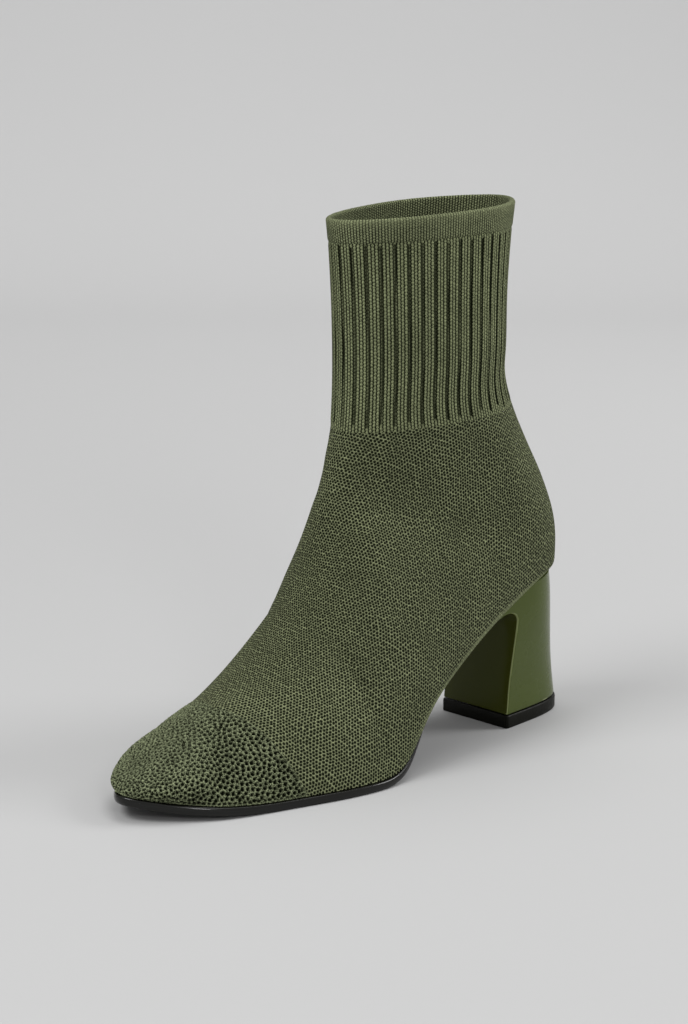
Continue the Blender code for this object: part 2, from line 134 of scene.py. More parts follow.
CLEARANCE = 0.0003
SHARP_ANGLE = radians(38)

# Shape of the last, as shares of the sizes above
RISE = np.array((
    # share of length, share of heel lift
    (0.24, 0.000),
    (0.34, 0.000),
    (0.40, 0.000),
    (0.48, 0.050),
    (0.56, 0.290),
    (0.66, 0.545),
    (0.76, 0.760),
    (0.87, 0.930),
    (1.00, 1.000),
))
OUTLINE = np.array((
    # share of length, outer half width, inner half width
    (0.00, 0.36, 0.35),
    (0.06, 0.51, 0.56),
    (0.14, 0.71, 0.80),
    (0.24, 0.87, 0.96),
    (0.34, 1.01, 0.96),
    (0.42, 1.055, 0.83),
    (0.52, 0.985, 0.68),
    (0.64, 0.855, 0.645),
    (0.76, 0.78, 0.70),
    (0.88, 0.75, 0.75),
    (1.00, 0.75, 0.75),
))
FRONT = np.array((
    # row, run, heel lift, instep, shaft
    (0.00, 0.000, 0.00, 0.22, 0.0),
    (0.05, 0.085, 0.00, 0.31, 0.0),
    (0.14, 0.190, 0.00, 0.455, 0.0),
    (0.26, 0.289, 0.00, 0.60, 0.0),
    (0.40, 0.371, 0.10, 0.79, 0.0),
    (0.55, 0.4135, 0.30, 0.87, 0.0),
    (0.70, 0.430, 0.50, 0.885, 0.0),
    (0.86, 0.441, 0.70, 0.86, 0.0),
    (1.00, 0.452, 0.85, 0.82, 0.0),
    (1.09, 0.461, 0.95, 0.81, 0.0),
    (1.18, 0.470, 1.00, 0.845, 0.0),
    (1.28, 0.480, 1.00, 0.915, 0.0),
    (1.38, 0.488, 1.00, 1.00, 0.0),
    (1.69, 0.492, 1.00, 1.00, 0.50),
    (2.00, 0.479, 1.00, 1.00, 0.945),
))
BACK = np.array((
    # row, run, heel lift, instep, shaft, depth of the round back
    (1.00, 1.000, 1.00, 0.00, 0.0, 0.225),
    (1.09, 1.000, 1.00, 0.25, 0.0, 0.215),
    (1.18, 0.971, 1.00, 0.51, 0.0, 0.200),
    (1.28, 0.920, 1.00, 0.80, 0.0, 0.195),
    (1.38, 0.870, 1.00, 1.00, 0.09, 0.185),
    (1.53, 0.860, 1.00, 1.00, 0.305, 0.175),
    (1.69, 0.861, 1.00, 1.00, 0.53, 0.170),
    (2.00, 0.878, 1.00, 1.00, 1.01, 0.170),
))
HALF = np.array((
    # row, share of ball, share of shaft, ridge to the outer side, leg's half width at the back
    (0.00, 0.45, 0.00, -0.100, 0.96),
    (0.05, 0.56, 0.00, -0.125, 0.96),
    (0.14, 0.72, 0.00, -0.150, 0.96),
    (0.26, 0.92, 0.00, -0.150, 0.96),
    (0.40, 0.935, 0.00, -0.125, 0.96),
    (0.55, 0.86, 0.00, -0.075, 0.96),
    (0.70, 0.40, 0.53, -0.025, 0.96),
    (0.86, 0.20, 0.77, 0.000, 0.96),
    (1.00, 0.00, 1.04, 0.000, 0.96),
    (1.18, 0.00, 1.02, 0.000, 0.92),
    (1.38, 0.00, 0.99, 0.000, 0.86),
    (1.69, 0.00, 0.98, 0.000, 0.82),
    (2.00, 0.00, 0.97, 0.000, 0.82),
))
ROUND_TOE = 0.13
BLUNT_TOE = 0.075
SPRING_SHARE = 0.24
TUCK_START = 0.46
TUCK_FULL = 0.60
SEAT_EASE = 0.08
LEG_BLEND = 0.18
TOE_SEAM = 0.160
TOE_SWEEP = 0.110
SWEEP_END = 0.600
SWEEP_POWER = 1.3
SHAFT_START = 1.38
RIB_START = 1.362

# Knit: lengths in metres, holes as shares of their pitch, grooves as shares of a rib
PIN_PITCH = (0.00148, 0.00120)
NET_YARN = {"Across": 0.00092, "Along": 0.00074, "Unevenness": 0.55, "Hole": 0.22}
NET_PITCH = (0.00140, 0.00168)
NET_HOLE = 0.43
NET_SIZES = (0.9, 0.22)
NET_ROUNDS = 3
NET_DARTS = 32000
NET_ROUGH = 0.00022
NET_RIM = 0.00034
NET_DEPTH = 1.25
NET_CROWN = 0.00016
NET_CROWN_RUN = 0.0006
NET_FUZZ = 0.00020
TOE_TRIM = (
    # row, reach in rows, metres out
    (0.035, 0.045, -0.00095),
    (0.115, 0.030, 0.00025),
    (0.200, 0.045, -0.00075),
)
TRIM_SIDE = (0.42, 0.12)
TRIM_EDGE = (0.94, 0.15)
WALES_PER_RIB = 4
COURSE = 0.00105
RIB_CREST = 0.00030
GROOVE_DEPTH = 0.00105
GROOVE_MORE = 0.00020
GROOVE_WIDTH = 0.088
GROOVE_SPREAD = 0.014
GROOVE_WANDER = 0.14
GROOVE_TOP = (0.0006, 0.0012)
GROOVE_FOOT = (0.0002, 0.0014, 0.0010)
GROOVE_ENDS = (0.0012, 0.0016)
BODY_UNEVEN = 0.0004
STITCH_ACROSS = 0.0016
TURNED_PLAIN = 0.75
TURNED_STRIP = (0.0, 0.0025, 0.0060, 0.0100)
LIP_BEAD = 0.0022
LIP_FUZZ = 0.00012
LIP_PLAIN = 0.35

# Steps of the grids
FINE_COLUMNS = 361
ARC_STEPS = 181
NET_STEPS = (221, 441)
OPENED_STEPS = 61
END_CROWDING = 0.75

# Photograph's view and the room
CAMERA_TURN = radians(47.2)
CAMERA_RISE = radians(11.55)
CAMERA_DISTANCE = 0.900
CAMERA_LENS = 78.96
CAMERA_TARGET = (0.0166, -0.0168, 0.1095)
PAPER_LEVEL = (-9.0, 1.6)
PAPER_BEND = 1.2
PAPER_WALL = 2.5
PAPER_HALF = 8
PAPER_GREY = (0.5, 0.5, 0.5)
PAPER_SHADE = (0.39, 0.67)
PAPER_RAMP = (0.2, 2.2)
ROOM_LIGHT = 0.55
LAMPS = (
    # name, place in front, to the right and up, height it is turned to, size, power
    ("key", (0.7, -1.0, 1.6), 0.08, 1.0, 22),
    ("top", (-0.3, 0.2, 2.0), 0.05, 1.4, 18),
    ("rim", (-0.3, 1.4, 0.9), 0.08, 0.7, 13),
    ("edge", (1.6, 0.5, 0.9), 0.05, 0.35, 5),
)


# The last


def spline(table, column, at):
    """The natural cubic curve through a column of a table, read at the values of its first column."""
    x, y = table[:, 0], column
    step = np.diff(x)
    system = np.eye(len(x))
    target = np.zeros(len(x))
    for i in range(1, len(x) - 1):
        system[i, i - 1 : i + 2] = step[i - 1], 2 * (step[i - 1] + step[i]), step[i]
        target[i] = 6 * ((y[i + 1] - y[i]) / step[i] - (y[i] - y[i - 1]) / step[i - 1])
    bend = np.linalg.solve(system, target)
    at = np.asarray(at, float)
    i = np.clip(np.searchsorted(x, at) - 1, 0, len(x) - 2)
    before, after, h = at - x[i], x[i + 1] - at, step[i]
    curved = (bend[i] * after**3 + bend[i + 1] * before**3) / (6 * h)
    straight = (y[i] / h - bend[i] * h / 6) * after + (y[i + 1] / h - bend[i + 1] * h / 6) * before
    return curved + straight


def smooth(x):
    """0 below 0, 1 above 1 and the S of 3x^2 - 2x^3 between."""
    x = np.clip(x, 0, 1)
    return x * x * (3 - 2 * x)


def quarter_round(x):
    """A quarter circle's rise, from 0 at 0 to 1 at 1."""
    return np.sqrt(1 - (1 - np.clip(x, 0, 1)) ** 2)


def along(share):
    """Y at a share of the sole's length, before the boot is put in its place."""
    return (share - 0.5) * LENGTH


def share_at(y):
    """Share of the sole's length at a Y."""
    return y / LENGTH + 0.5


def sole_top(share):
    """Height of the outsole's top and the heel's seat: the square of the distance to the level tread gives
    the toe spring, and a curve through the table the rise to the heel."""
    spring = TOE_SPRING * np.clip(1 - share / SPRING_SHARE, 0, None) ** 2
    rise = np.clip(spline(RISE, RISE[:, 1], share), 0, None)
    rise = np.where(share > RISE[0, 0], rise, 0)
    return SOLE_THICKNESS + spring + rise * (HEEL_LIFT - SOLE_THICKNESS)


def straight_widths(share):
    """Outer and inner half widths of the last's outline, round at the toe and cut off square at the heel."""
    widths = (spline(OUTLINE, OUTLINE[:, k], share) for k in (1, 2))
    return tuple(width * quarter_round(share / ROUND_TOE) * BALL_WIDTH / 2 for width in widths)


def half_widths(share):
    """Outer and inner half widths of the last's outline, round at the toe and the heel."""
    round_back = quarter_round((BACK[0, 1] - share) / BACK[0, 5])
    return tuple(width * round_back for width in straight_widths(share))


def outline_edge(share, side, inward):
    """Plan points of the outline on a side (1 outer, -1 inner), moved inward square to it."""
    step = 1e-6
    ahead, behind = np.clip(share + step, 0, 1), np.clip(share - step, 0, 1)
    k = 0 if side > 0 else 1
    slope = (half_widths(ahead)[k] - half_widths(behind)[k]) / (ahead - behind)
    across = np.where((share > 0) & (share < BACK[0, 1]), LENGTH, 0)
    size = np.hypot(across, slope)
    normal = np.stack([side * across / size, -slope / size], -1)
    point = np.stack([side * half_widths(share)[k], along(share)], -1)
    return point - normal * np.asarray(inward)[..., None], normal


def tuck(share):
    """How far the upper turns in under the last, none at the tread and all of it from the waist back."""
    return TUCK * smooth((share - TUCK_START) / (TUCK_FULL - TUCK_START))


def eased(distance):
    """A distance in rows from the heel seat, held back close to it, so that the form turns softly there."""
    return distance * (1 - np.exp(-((distance / SEAT_EASE) ** 2)))


def low_share(rows):
    """Where a row of the foot meets the sole, as a share of the length."""
    return 1 - eased(np.clip(1 - rows, 0, 1))


def profile_height(table, rows):
    """Height of the front ridge or the back line: each size times its share in the table, added up."""
    heights = table[:, 2] * HEEL_LIFT + table[:, 3] * INSTEP + table[:, 4] * SHAFT_HEIGHT
    return spline(table, heights, rows)


def rounded_back(y, z):
    """How much of the half width is left at a place, where the heel and the back of the leg are round."""
    fine = np.linspace(1, 2, 200)
    back_z = profile_height(BACK, fine) + CLEARANCE
    back_y = np.interp(z, back_z, along(spline(BACK, BACK[:, 1], fine)))
    depth = np.interp(z, back_z, spline(BACK, BACK[:, 5], fine)) * LENGTH
    return quarter_round((back_y - y) / depth)


def last_sections(rows):
    """The last's surface, a section for each row: part of an ellipse on the plane through the sole or back
    and the front ridge, from the outer feather edge over the ridge to the inner one, rounded off at the
    back."""
    share = low_share(rows)
    leg = 1 + eased(np.maximum(rows - 1, 0))
    low_y = np.where(rows < 1, along(share), along(spline(BACK, BACK[:, 1], leg)))
    low_z = np.where(rows < 1, sole_top(share), profile_height(BACK, leg)) + CLEARANCE
    blunt = quarter_round(share / BLUNT_TOE)
    high_y = low_y + (along(spline(FRONT, FRONT[:, 1], rows)) - low_y) * blunt
    high_z = low_z + (profile_height(FRONT, rows) - low_z) * blunt
    ball, shaft, lean, base = (spline(HALF, HALF[:, k], rows) for k in (1, 2, 3, 4))
    widest = (ball * BALL_WIDTH + shaft * SHAFT_WIDTH) / 2 * blunt
    outer, inner = straight_widths(share)
    level = smooth((rows - 1) / LEG_BLEND)
    foot_base = np.minimum((outer + inner) / 2, np.where(rows < 1, np.inf, widest * 0.999))
    base = foot_base + (widest * base - foot_base) * level
    base_x = (outer - inner) / 2 * (1 - level)
    widest = np.maximum(widest, base + 1e-9)

    start = np.arcsin(np.minimum(base / widest, 1))[:, None]
    turn = start + (pi - start) * np.linspace(0, 1, ARC_STEPS)
    up = (np.cos(start) - np.cos(turn)) / (1 + np.cos(start))
    middle = base_x[:, None] + (lean * BALL_WIDTH / 2 - base_x)[:, None] * up
    y = low_y[:, None] + (high_y - low_y)[:, None] * up
    z = low_z[:, None] + (high_z - low_z)[:, None] * up
    left = rounded_back(y, z)
    left[rows >= 1, 0] = 0
    half = widest[:, None] * np.sin(turn) * left
    near = np.stack([middle * left + half, y, z], -1)
    far = np.stack([middle * left - half, y, z], -1)[:, ::-1]
    return np.concatenate([near, far[:, 1:]], axis=1)


def even_sections(rows, shares):
    """Points of each section at shares of its girth, with the edge turned under."""
    points, girths, whole = [], [], []
    for section in last_sections(rows):
        girth = np.r_[0, np.cumsum(np.linalg.norm(np.diff(section, axis=0), axis=1))]
        at = shares * girth[-1]
        points.append(np.stack([np.interp(at, girth, section[:, k]) for k in range(3)], -1))
        girths.append(np.minimum(at, girth[-1] - at))
        whole.append(girth[-1])
    points, girths = np.array(points), np.array(girths)
    share = low_share(rows)
    lift = np.maximum(points[:, :1, 2] - HEEL_LIFT - CLEARANCE, 0) * (rows[:, None] > 1)
    turned = tuck(share)[:, None] * (1 - quarter_round((girths + lift) / TUCK_HEIGHT))
    for side, columns in ((1, shares < 0.5), (-1, shares >= 0.5)):
        normal = outline_edge(share, side, 0)[1][:, None]
        before = sole_top(share_at(points[:, columns, 1]))
        points[:, columns, :2] -= normal * turned[:, columns, None]
        points[:, columns, 2] += sole_top(share_at(points[:, columns, 1])) - before
    return points, np.array(whole)


def surface_normals(points, closed):
    """Unit normals of a grid of points, out of the boot: up a column crossed with along a row."""
    across = np.gradient(points, axis=1)
    across[closed, 0] = across[closed, -1] = (points[closed, 1] - points[closed, -2]) / 2
    up = np.gradient(points, axis=0)
    found = np.cross(up, across)
    found = found / np.maximum(np.linalg.norm(found, axis=-1, keepdims=True), 1e-15)
    found[0] = (0, -1, 0)
    return found


def between(grid, i, j):
    """Values of a grid read between its points, in proportion to the distance from each."""
    i0, j0 = (np.minimum(at.astype(int), count - 2) for at, count in zip((i, j), grid.shape))
    a, b = (i - i0)[..., None], (j - j0)[..., None]
    low = grid[i0, j0] * (1 - b) + grid[i0, j0 + 1] * b
    high = grid[i0 + 1, j0] * (1 - b) + grid[i0 + 1, j0 + 1] * b
    return low * (1 - a) + high * a


class Last:
    """The upper's surface without relief, read at any row and share of the girth."""

    def __init__(self):
        even = np.linspace(0, 1, 200)
        self.rows = np.r_[(1 - np.cos(pi * even)) / 2, 1 + even[1:] ** 1.5]
        self.points, self.girths = even_sections(self.rows, np.linspace(0, 1, FINE_COLUMNS))
        self.normals = surface_normals(self.points, self.rows >= 1)

    def read(self, grid, rows, shares):
        """Values of one of its grids at rows and shares."""
        i = np.interp(rows, self.rows, np.arange(len(self.rows)))
        return between(grid, i, shares * (FINE_COLUMNS - 1))

    def at(self, rows, shares, out=0.0):
        """Points moved out square to the surface."""
        rows, shares = np.broadcast_arrays(rows, shares)
        normal = self.read(self.normals, rows, shares)
        normal = normal / np.linalg.norm(normal, axis=-1, keepdims=True)
        return self.read(self.points, rows, shares) + normal * np.asarray(out)[..., None]


def swept(rows, shares):
    """Rows that bend back towards the sole with the edge of the toe zone, and straighten before the
    instep."""
    before = rows / TOE_SEAM
    after = np.clip((SWEEP_END - rows) / (SWEEP_END - TOE_SEAM), 0, 1) ** 2
    bent = rows + TOE_SWEEP * np.minimum(before, after) * np.abs(2 * shares - 1) ** SWEEP_POWER
    return np.where(rows < 1, bent, rows)


def boot_place():
    """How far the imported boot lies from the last's own frame, from the heel tip's box."""
    low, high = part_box("heel_tip")
    return np.array([(low[0] + high[0]) / 2, low[1] - along(BREAST_SHARE) + TIP_EDGE, 0.0])


last = Last()
PLACE = boot_place()
BAND_START = 2 - BAND_DEPTH / SHAFT_HEIGHT * (2 - SHAFT_START)


# Meshes from grids


def placed(name, data, material=None):
    """An object of this data in the scene."""
    piece = bpy.data.objects.new(name, data)
    bpy.context.scene.collection.objects.link(piece)
    if material:
        data.materials.append(material)
    return piece


def lay_mesh(name, points, material, closed=False, pole=False, flip=False, places=None, values=None):
    """A mesh of a grid of points: a face between each four neighbours, wound so that up crossed with along
    faces out. A closed grid's last column is its first, and a pole is a first row drawn together in one
    point. places is a flat place in metres for each point, kept as the UV map, and values are named
    shares."""
    rows, columns = points.shape[:2]
    index = np.arange(rows * columns).reshape(rows, columns)
    vertex = index.copy()
    if closed:
        vertex[:, -1] = vertex[:, 0]
    if pole:
        vertex[0] = vertex[0, 0]

    def corners(grid):
        return np.stack([grid[:-1, :-1], grid[1:, :-1], grid[1:, 1:], grid[:-1, 1:]], -1).reshape(-1, 4)

    around, source = corners(vertex), corners(index)
    if flip:
        around, source = around[:, ::-1], source[:, ::-1]
    used, packed = np.unique(around, return_inverse=True)
    around = packed.reshape(around.shape)
    keep = np.ones(around.shape, bool)
    if pole:
        keep[: columns - 1, 3] = False
    sizes = keep.sum(axis=1)
    starts = np.r_[0, np.cumsum(sizes)[:-1]]
    data = bpy.data.meshes.new(name)
    data.vertices.add(len(used))
    data.vertices.foreach_set("co", (points.reshape(-1, 3)[used] + PLACE).astype(np.float32).ravel())
    data.loops.add(int(sizes.sum()))
    data.loops.foreach_set("vertex_index", around[keep].astype(np.int32))
    data.polygons.add(len(around))
    data.polygons.foreach_set("loop_start", starts.astype(np.int32))
    data.update(calc_edges=True)
    data.validate()
    if places is not None:
        layer = data.uv_layers.new(name="flat")
        layer.data.foreach_set("uv", places.reshape(-1, 2)[source[keep]].astype(np.float32).ravel())
    for key, value in (values or {}).items():
        layer = data.attributes.new(key, "FLOAT", "POINT")
        layer.data.foreach_set("value", value.reshape(-1)[used].astype(np.float32))
    data.shade_smooth()
    return placed(name, data, material)


def flattened(rows, shares):
    """The flat place, in metres, of each point of a piece of knit: a coarse copy of it is opened flat with
    even stretch, laid with the ridge upward, and read between its points."""
    coarse = [np.linspace(0, count - 1, OPENED_STEPS).astype(int) for count in rows.shape]
    thin = np.ix_(*coarse)
    points = last.at(rows[thin], shares[thin])
    flat = lay_mesh("opened", points, None, places=np.zeros(points.shape[:2] + (2,)))
    bpy.context.view_layer.objects.active = flat
    flat.select_set(True)
    bpy.ops.object.mode_set(mode="EDIT")
    bpy.ops.mesh.select_all(action="SELECT")
    bpy.ops.uv.unwrap(method="ANGLE_BASED", margin=0)
    bpy.ops.object.mode_set(mode="OBJECT")
    loops = np.empty(len(flat.data.loops), np.int32)
    flat.data.loops.foreach_get("vertex_index", loops)
    where = np.empty(2 * len(loops), np.float32)
    flat.data.uv_layers["flat"].data.foreach_get("uv", where)
    opened = np.zeros((len(flat.data.vertices), 2))
    opened[loops] = where.reshape(-1, 2)
    opened = opened.reshape(points.shape[:2] + (2,))
    bpy.data.objects.remove(flat, do_unlink=True)

    middle = opened.shape[1] // 2
    real = np.linalg.norm(np.diff(points, axis=0), axis=-1).sum()
    drawn = np.linalg.norm(np.diff(opened, axis=0), axis=-1).sum()
    ridge = opened[-1, middle] - opened[0, middle]
    turn = pi / 2 - np.arctan2(ridge[1], ridge[0])
    spin = np.array([[cos(turn), sin(turn)], [-sin(turn), cos(turn)]])
    opened = (opened - opened[0, middle]) @ spin * (real / drawn)
    if opened[middle, -1, 0] < opened[middle, 0, 0]:
        opened[..., 0] *= -1

    steps = np.arange(OPENED_STEPS)
    i, j = (np.interp(np.arange(count), at, steps) for count, at in zip(rows.shape, coarse))
    return between(opened, *np.meshgrid(i, j, indexing="ij"))


def scatter(cells, salt):
    """An even spread of values from 0 to 1, the same for the same cell: the fraction of a large sine."""
    wave = np.sin(cells[..., 0] * 127.1 + cells[..., 1] * 311.7 + salt * 74.7) * 43758.5453
    return wave - np.floor(wave)


def soft_noise(places, size, salt):
    """Smooth bumps of a given size on flat places: scattered values on a lattice with an S-curve between."""
    at = places / size
    cell = np.floor(at)
    part = smooth(at - cell)
    noise = 0
    for dx in (0, 1):
        for dy in (0, 1):
            weight = (part[..., 0] if dx else 1 - part[..., 0]) * (part[..., 1] if dy else 1 - part[..., 1])
            noise = noise + weight * scatter(cell + (dx, dy), salt)
    return noise


# Materials

MIDDLE = (0.5, 0.5, 0.5)
# Painted shade: near black put in the knit's holes, the gaps between its stitches and its sunk grooves and
# pits
HOLE_PAINTED_SHADE = (0.004, 0.006, 0.001)
YARN_SHADES = (0.84, 1.14)
FIBRE_SHADES = (0.72, 1.18)
# Painted light and shade: the knit's pattern is painted lighter on its crests and darker in its dips
CREST_LIGHT_AND_SHADE = (0.90, 1.30)
GRAIN_SHADE = 0.88
GRAIN_SPREAD = (0.85, 1.2)


def add_node(tree, kind, inputs=None, **settings):
    """A node with its settings and its inputs, each a value or the socket it is fed from."""
    node = tree.nodes.new(kind)
    for key, value in settings.items():
        setattr(node, key, value)
    for key, value in (inputs or {}).items():
        if isinstance(value, bpy.types.NodeSocket):
            tree.links.new(value, node.inputs[key])
        else:
            node.inputs[key].default_value = value
    return node


def sums(tree, operation, *values):
    """A Math node's result."""
    return add_node(tree, "ShaderNodeMath", dict(enumerate(values)), operation=operation).outputs[0]


def ramp(tree, value, low, high, start=0.0, end=1.0):
    """A value carried smoothly from one range to another, and held at its ends."""
    inputs = {"Value": value, "From Min": low, "From Max": high, "To Min": start, "To Max": end}
    return add_node(tree, "ShaderNodeMapRange", inputs, interpolation_type="SMOOTHSTEP").outputs["Result"]


def mixed(tree, share, first, second, blend="MIX"):
    """Two colours mixed."""
    node = add_node(tree, "ShaderNodeMix", data_type="RGBA", blend_type=blend)
    for socket, value in ((node.inputs[0], share), (node.inputs[6], first), (node.inputs[7], second)):
        if isinstance(value, bpy.types.NodeSocket):
            tree.links.new(value, socket)
        else:
            socket.default_value = value
    return node.outputs[2]


def cloud(tree, place, scale, detail):
    """The outputs of soft noise."""
    inputs = {"Vector": place, "Scale": scale, "Detail": detail}
    return add_node(tree, "ShaderNodeTexNoise", inputs).outputs


def bumped(tree, shader, height, depth):
    """Gives a material the relief of a height."""
    bump = add_node(tree, "ShaderNodeBump", {"Height": height, "Strength": 1.0, "Distance": depth})
    tree.links.new(bump.outputs[0], shader.inputs["Normal"])


def new_group(name, inputs, outputs):
    """An empty group with named sockets, and its own input and output nodes."""
    tree = bpy.data.node_groups.new(name, "ShaderNodeTree")
    for label, kind, value in inputs:
        socket = tree.interface.new_socket(name=label, in_out="INPUT", socket_type=kind)
        if value is not None:
            socket.default_value = value
    for label in outputs:
        tree.interface.new_socket(name=label, in_out="OUTPUT", socket_type="NodeSocketFloat")
    return tree, tree.nodes.new("NodeGroupInput").outputs, tree.nodes.new("NodeGroupOutput").inputs


def vectors(tree, operation, *values):
    """A Vector Math node's result. The value after SCALE's vector is its scale."""
    inputs = {0: values[0], "Scale": values[1]} if operation == "SCALE" else dict(enumerate(values))
    output = "Value" if operation == "LENGTH" else 0
    return add_node(tree, "ShaderNodeVectorMath", inputs, operation=operation).outputs[output]


def pit_distance(tree, place, shift, jitter, stretch):
    """How far a place is from the pit of its cell, a point moved off the cell's middle by chance."""
    at = vectors(tree, "ADD", place, shift)
    cell = vectors(tree, "FLOOR", at)
    chance = add_node(tree, "ShaderNodeTexWhiteNoise", {"Vector": cell}).outputs["Color"]
    moved = vectors(tree, "SCALE", vectors(tree, "SUBTRACT", chance, MIDDLE), jitter)
    within = vectors(tree, "SUBTRACT", vectors(tree, "FRACTION", at), MIDDLE)
    away = vectors(tree, "SUBTRACT", within, moved)
    return vectors(tree, "LENGTH", vectors(tree, "MULTIPLY", away, (1, stretch, 0)))


def pin_knit_group():
    """Fine knit with pin-holes in rows, each row half a hole further on: two lattices of pits, the second in
    the middles of the first, on a place that drifts a little."""
    tree, given, out = new_group(
        "pin knit",
        (
            ("Place", "NodeSocketVector", None),
            ("Across", "NodeSocketFloat", PIN_PITCH[0]),
            ("Along", "NodeSocketFloat", PIN_PITCH[1]),
            ("Unevenness", "NodeSocketFloat", 0.15),
            ("Hole", "NodeSocketFloat", 0.41),
            ("Drift", "NodeSocketFloat", 0.0026),
        ),
        ("Height", "Depth"),
    )
    sway = vectors(tree, "SUBTRACT", cloud(tree, given["Place"], 70.0, 1.0)["Color"], MIDDLE)
    swayed = vectors(tree, "ADD", given["Place"], vectors(tree, "SCALE", sway, given["Drift"]))
    parts = add_node(tree, "ShaderNodeSeparateXYZ", {0: swayed}).outputs
    x = sums(tree, "DIVIDE", parts["X"], given["Across"])
    y = sums(tree, "MULTIPLY", sums(tree, "DIVIDE", parts["Y"], given["Along"]), 0.5)
    place = add_node(tree, "ShaderNodeCombineXYZ", {"X": x, "Y": y}).outputs[0]
    stretch = 2 * PIN_PITCH[1] / PIN_PITCH[0]
    first = pit_distance(tree, place, (0, 0, 0), given["Unevenness"], stretch)
    second = pit_distance(tree, place, (0.5, 0.5, 5), given["Unevenness"], stretch)
    cells = sums(tree, "MINIMUM", first, second)
    depth = ramp(tree, cells, given["Hole"], sums(tree, "MULTIPLY", given["Hole"], 0.58))
    crown = ramp(tree, cells, sums(tree, "MULTIPLY", given["Hole"], 0.8), 0.60)
    height = sums(tree, "SUBTRACT", sums(tree, "MULTIPLY", crown, 0.6), depth)
    tree.links.new(height, out["Height"])
    # The hole's depth also goes out to be painted near black: painted shade in the pin-holes
    tree.links.new(depth, out["Depth"])
    return tree


def stitch_group():
    """Wales of beaded stitches: each wale is a round ridge, each stitch a bead on it, and the beads of every
    second wale lie half a stitch further on."""
    tree, given, out = new_group(
        "beaded wales",
        (
            ("Place", "NodeSocketVector", None),
            ("Across", "NodeSocketFloat", STITCH_ACROSS),
            ("Along", "NodeSocketFloat", COURSE),
        ),
        ("Height", "Depth"),
    )
    parts = add_node(tree, "ShaderNodeSeparateXYZ", {0: given["Place"]}).outputs
    rough = cloud(tree, given["Place"], 900.0, 1.0)[0]
    rough = sums(tree, "MULTIPLY", sums(tree, "SUBTRACT", rough, 0.5), 0.9)
    x = sums(tree, "DIVIDE", parts["X"], given["Across"])
    y = sums(tree, "DIVIDE", parts["Y"], given["Along"])
    odd = sums(tree, "MULTIPLY", sums(tree, "PINGPONG", sums(tree, "FLOOR", x), 1.0), 0.5)
    side = sums(tree, "ABSOLUTE", sums(tree, "SUBTRACT", sums(tree, "FRACT", x), 0.5))
    ridge = sums(tree, "COSINE", sums(tree, "MULTIPLY", side, pi))
    turn = sums(tree, "ADD", sums(tree, "ADD", y, odd), rough)
    bead = sums(tree, "COSINE", sums(tree, "MULTIPLY", turn, 2 * pi))
    bead = sums(tree, "MULTIPLY_ADD", bead, 0.3, 0.7)
    height = sums(tree, "MULTIPLY", ridge, bead)
    tree.links.new(height, out["Height"])
    # Painted shade: the gaps between wales and between beads go out to be painted dark
    tree.links.new(ramp(tree, height, 0.62, 0.12), out["Depth"])
    return tree


def fuzz_group():
    """Yarn: fine fibres, and soft changes of shade a few millimetres and a few centimetres across."""
    tree, given, out = new_group(
        "yarn",
        (("Place", "NodeSocketVector", None),),
        ("Fibre", "Shade"),
    )
    fibre = cloud(tree, given["Place"], 2600.0, 3.0)[0]
    patch = cloud(tree, given["Place"], 55.0, 3.0)[0]
    speck = cloud(tree, given["Place"], 700.0, 2.0)[0]
    both = sums(tree, "MULTIPLY", sums(tree, "ADD", patch, speck), 0.5)
    tree.links.new(fibre, out["Fibre"])
    tree.links.new(ramp(tree, both, 0.32, 0.68), out["Shade"])
    return tree


GROUPS = {"pin": pin_knit_group(), "stitch": stitch_group(), "yarn": fuzz_group()}


def new_material(name, colour, roughness, gloss, coat=0.0):
    """A material with its even values on the shader's own sockets."""
    material = bpy.data.materials.new(name)
    material.use_nodes = True
    tree = material.node_tree
    shader = tree.nodes["Principled BSDF"]
    shader.inputs["Base Color"].default_value = (*colour, 1)
    shader.inputs["Roughness"].default_value = roughness
    shader.inputs["Coat Weight"].default_value = coat
    shader.inputs["Specular IOR Level"].default_value = gloss
    material.diffuse_color = (*colour, 1)
    return material, tree, shader


